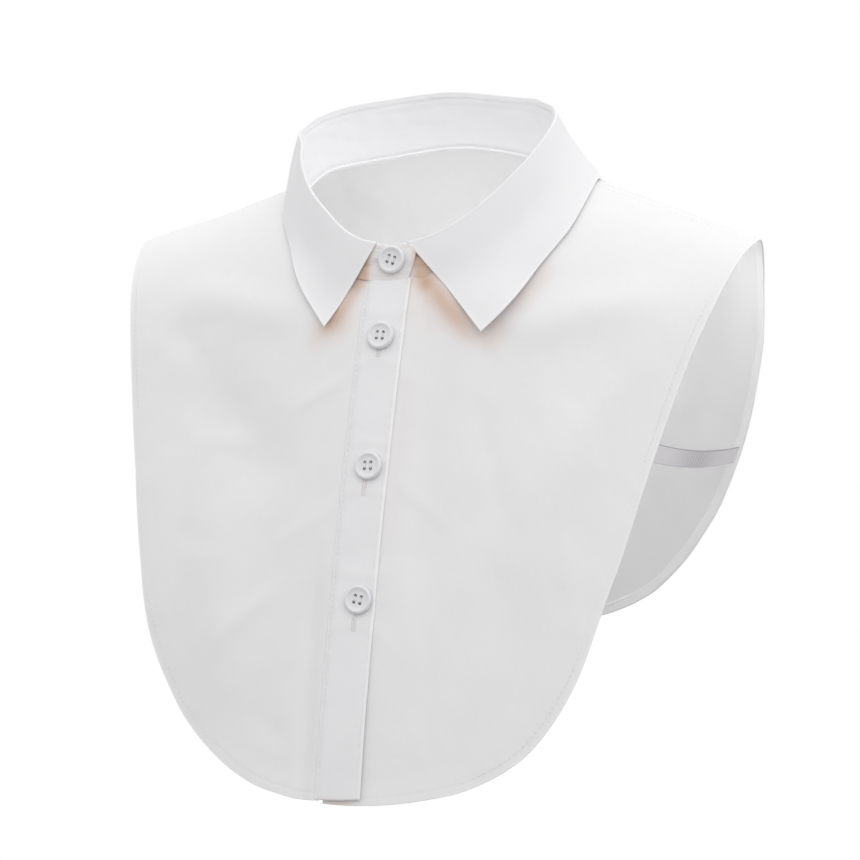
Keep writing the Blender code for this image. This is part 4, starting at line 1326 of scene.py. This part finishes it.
radius, height = np.array(BUTTON_PROFILE).T
knots = np.arange(len(radius))
fine = np.linspace(0, len(radius) - 1, BUTTON_RINGS + 2)
radius, height = np.maximum(through(knots, radius, fine), 0), through(knots, height, fine)
rings = turned_rings(BUTTON_SIDES, X_AXIS, Y_AXIS) * radius[:, None, None] + UP * height[:, None, None]
points = np.concatenate([rings[0, :1], rings[1:-1].reshape(-1, 3), rings[-1, :1]])
index = 1 + np.arange(BUTTON_RINGS * BUTTON_SIDES).reshape(BUTTON_RINGS, BUTTON_SIDES)
after = np.roll(index, -1, axis=1)
faces = np.stack([index[:-1], index[1:], after[1:], after[:-1]], -1).reshape(-1, 4).tolist()
faces += [(0, a, b) for a, b in zip(index[0].tolist(), after[0].tolist())]
faces += [(len(points) - 1, b, a) for a, b in zip(index[-1].tolist(), after[-1].tolist())]
blank_mesh = bpy.data.meshes.new("button_blank")
blank_mesh.from_pydata(points * MM, [], faces)
drill_ends = (SQUARE * HOLE_OFFSET)[:, None] + UP * np.array(DRILL)[:, None]
drill_rings = drill_ends[:, :, None] + turned_rings(HOLE_SIDES, X_AXIS, Y_AXIS) * HOLE_RADIUS
drill_mesh = tube_mesh("drills", [drill_rings])
blank, drills = (bpy.data.objects.new(mesh.name, mesh) for mesh in (blank_mesh, drill_mesh))
for helper in (blank, drills):
    bpy.context.scene.collection.objects.link(helper)
drilled = blank.modifiers.new("holes", "BOOLEAN")
drilled.operation = "DIFFERENCE"
drilled.object = drills
bpy.context.view_layer.update()
button_mesh = bpy.data.meshes.new_from_object(blank.evaluated_get(bpy.context.evaluated_depsgraph_get()))
for helper in (blank, drills):
    bpy.data.objects.remove(helper)

# each pair of holes, one above the other, holds one strand that comes up, runs over and goes down again
t = np.linspace(0, 1, STRAND_RINGS)
path_y = np.clip(-np.cos(np.pi * t) * STRAND_ACROSS, -1, 1) * STRAND_REACH
steep, power = STRAND_STEEP
path_z = np.clip(np.sin(np.pi * t) * steep, 0, 1) ** power
path = np.stack([0 * t, path_y, THREAD_DOWN + (THREAD_TOP - THREAD_DOWN) * path_z], -1)
bent = np.cross(unit(np.gradient(path, axis=0)), X_AXIS)
strand = path[:, None] + turned_rings(STRAND_SIDES, X_AXIS, bent) * STRAND_RADIUS
strands = np.stack([strand + X_AXIS * hole_x for hole_x in (-HOLE_OFFSET, HOLE_OFFSET)])
thread_mesh = tube_mesh("button_thread", [strands])

foot, head = stand_at(360.0, 0.0), stand_at(360.0, TAB_TOP)
up_tab = unit(head - foot)
tab_normal = np.cross(up_tab, X_AXIS)
tab_normal *= -np.sign(tab_normal[1])
tab_place = foot + up_tab * TAB_BUTTON_HEIGHT + tab_normal * (STAND_WALL / 2 + BUTTON_GAP)
places = [(tab_place + X_AXIS * TAB_BUTTON_X, tab_normal)]
for bx, b_arc in np.array(BUTTONS)[:, :, None]:
    lift = ridges(bx, b_arc, FOLDS) + PLACKET_OUT + PLACKET_WALL / 2 + BUTTON_GAP
    place, normal = raised(bx, b_arc, lift)
    places.append((place[0], normal[0]))
for number, (place, normal) in enumerate(places, 1):
    turned = Vector(normal).to_track_quat("Z", "Y").to_matrix().to_4x4()
    turned = Matrix.Translation(Vector(place - normal * BUTTON_SINKS[number - 1]) * MM) @ turned
    turned = turned @ Matrix.Rotation(math.radians(BUTTON_TURNS[number - 1]), 4, "Z")
    mesh = button_mesh.copy()
    mesh.transform(turned)
    mesh.shade_smooth()
    mesh.set_sharp_from_angle(angle=math.radians(BUTTON_SHARP))
    add_piece(f"shirt_button_{number}", mesh, pearl, "pearl_button", f"button_{number}")
    mesh = thread_mesh.copy()
    mesh.transform(turned)
    add_piece(f"button_thread_{number}", mesh, thread, "shirting")
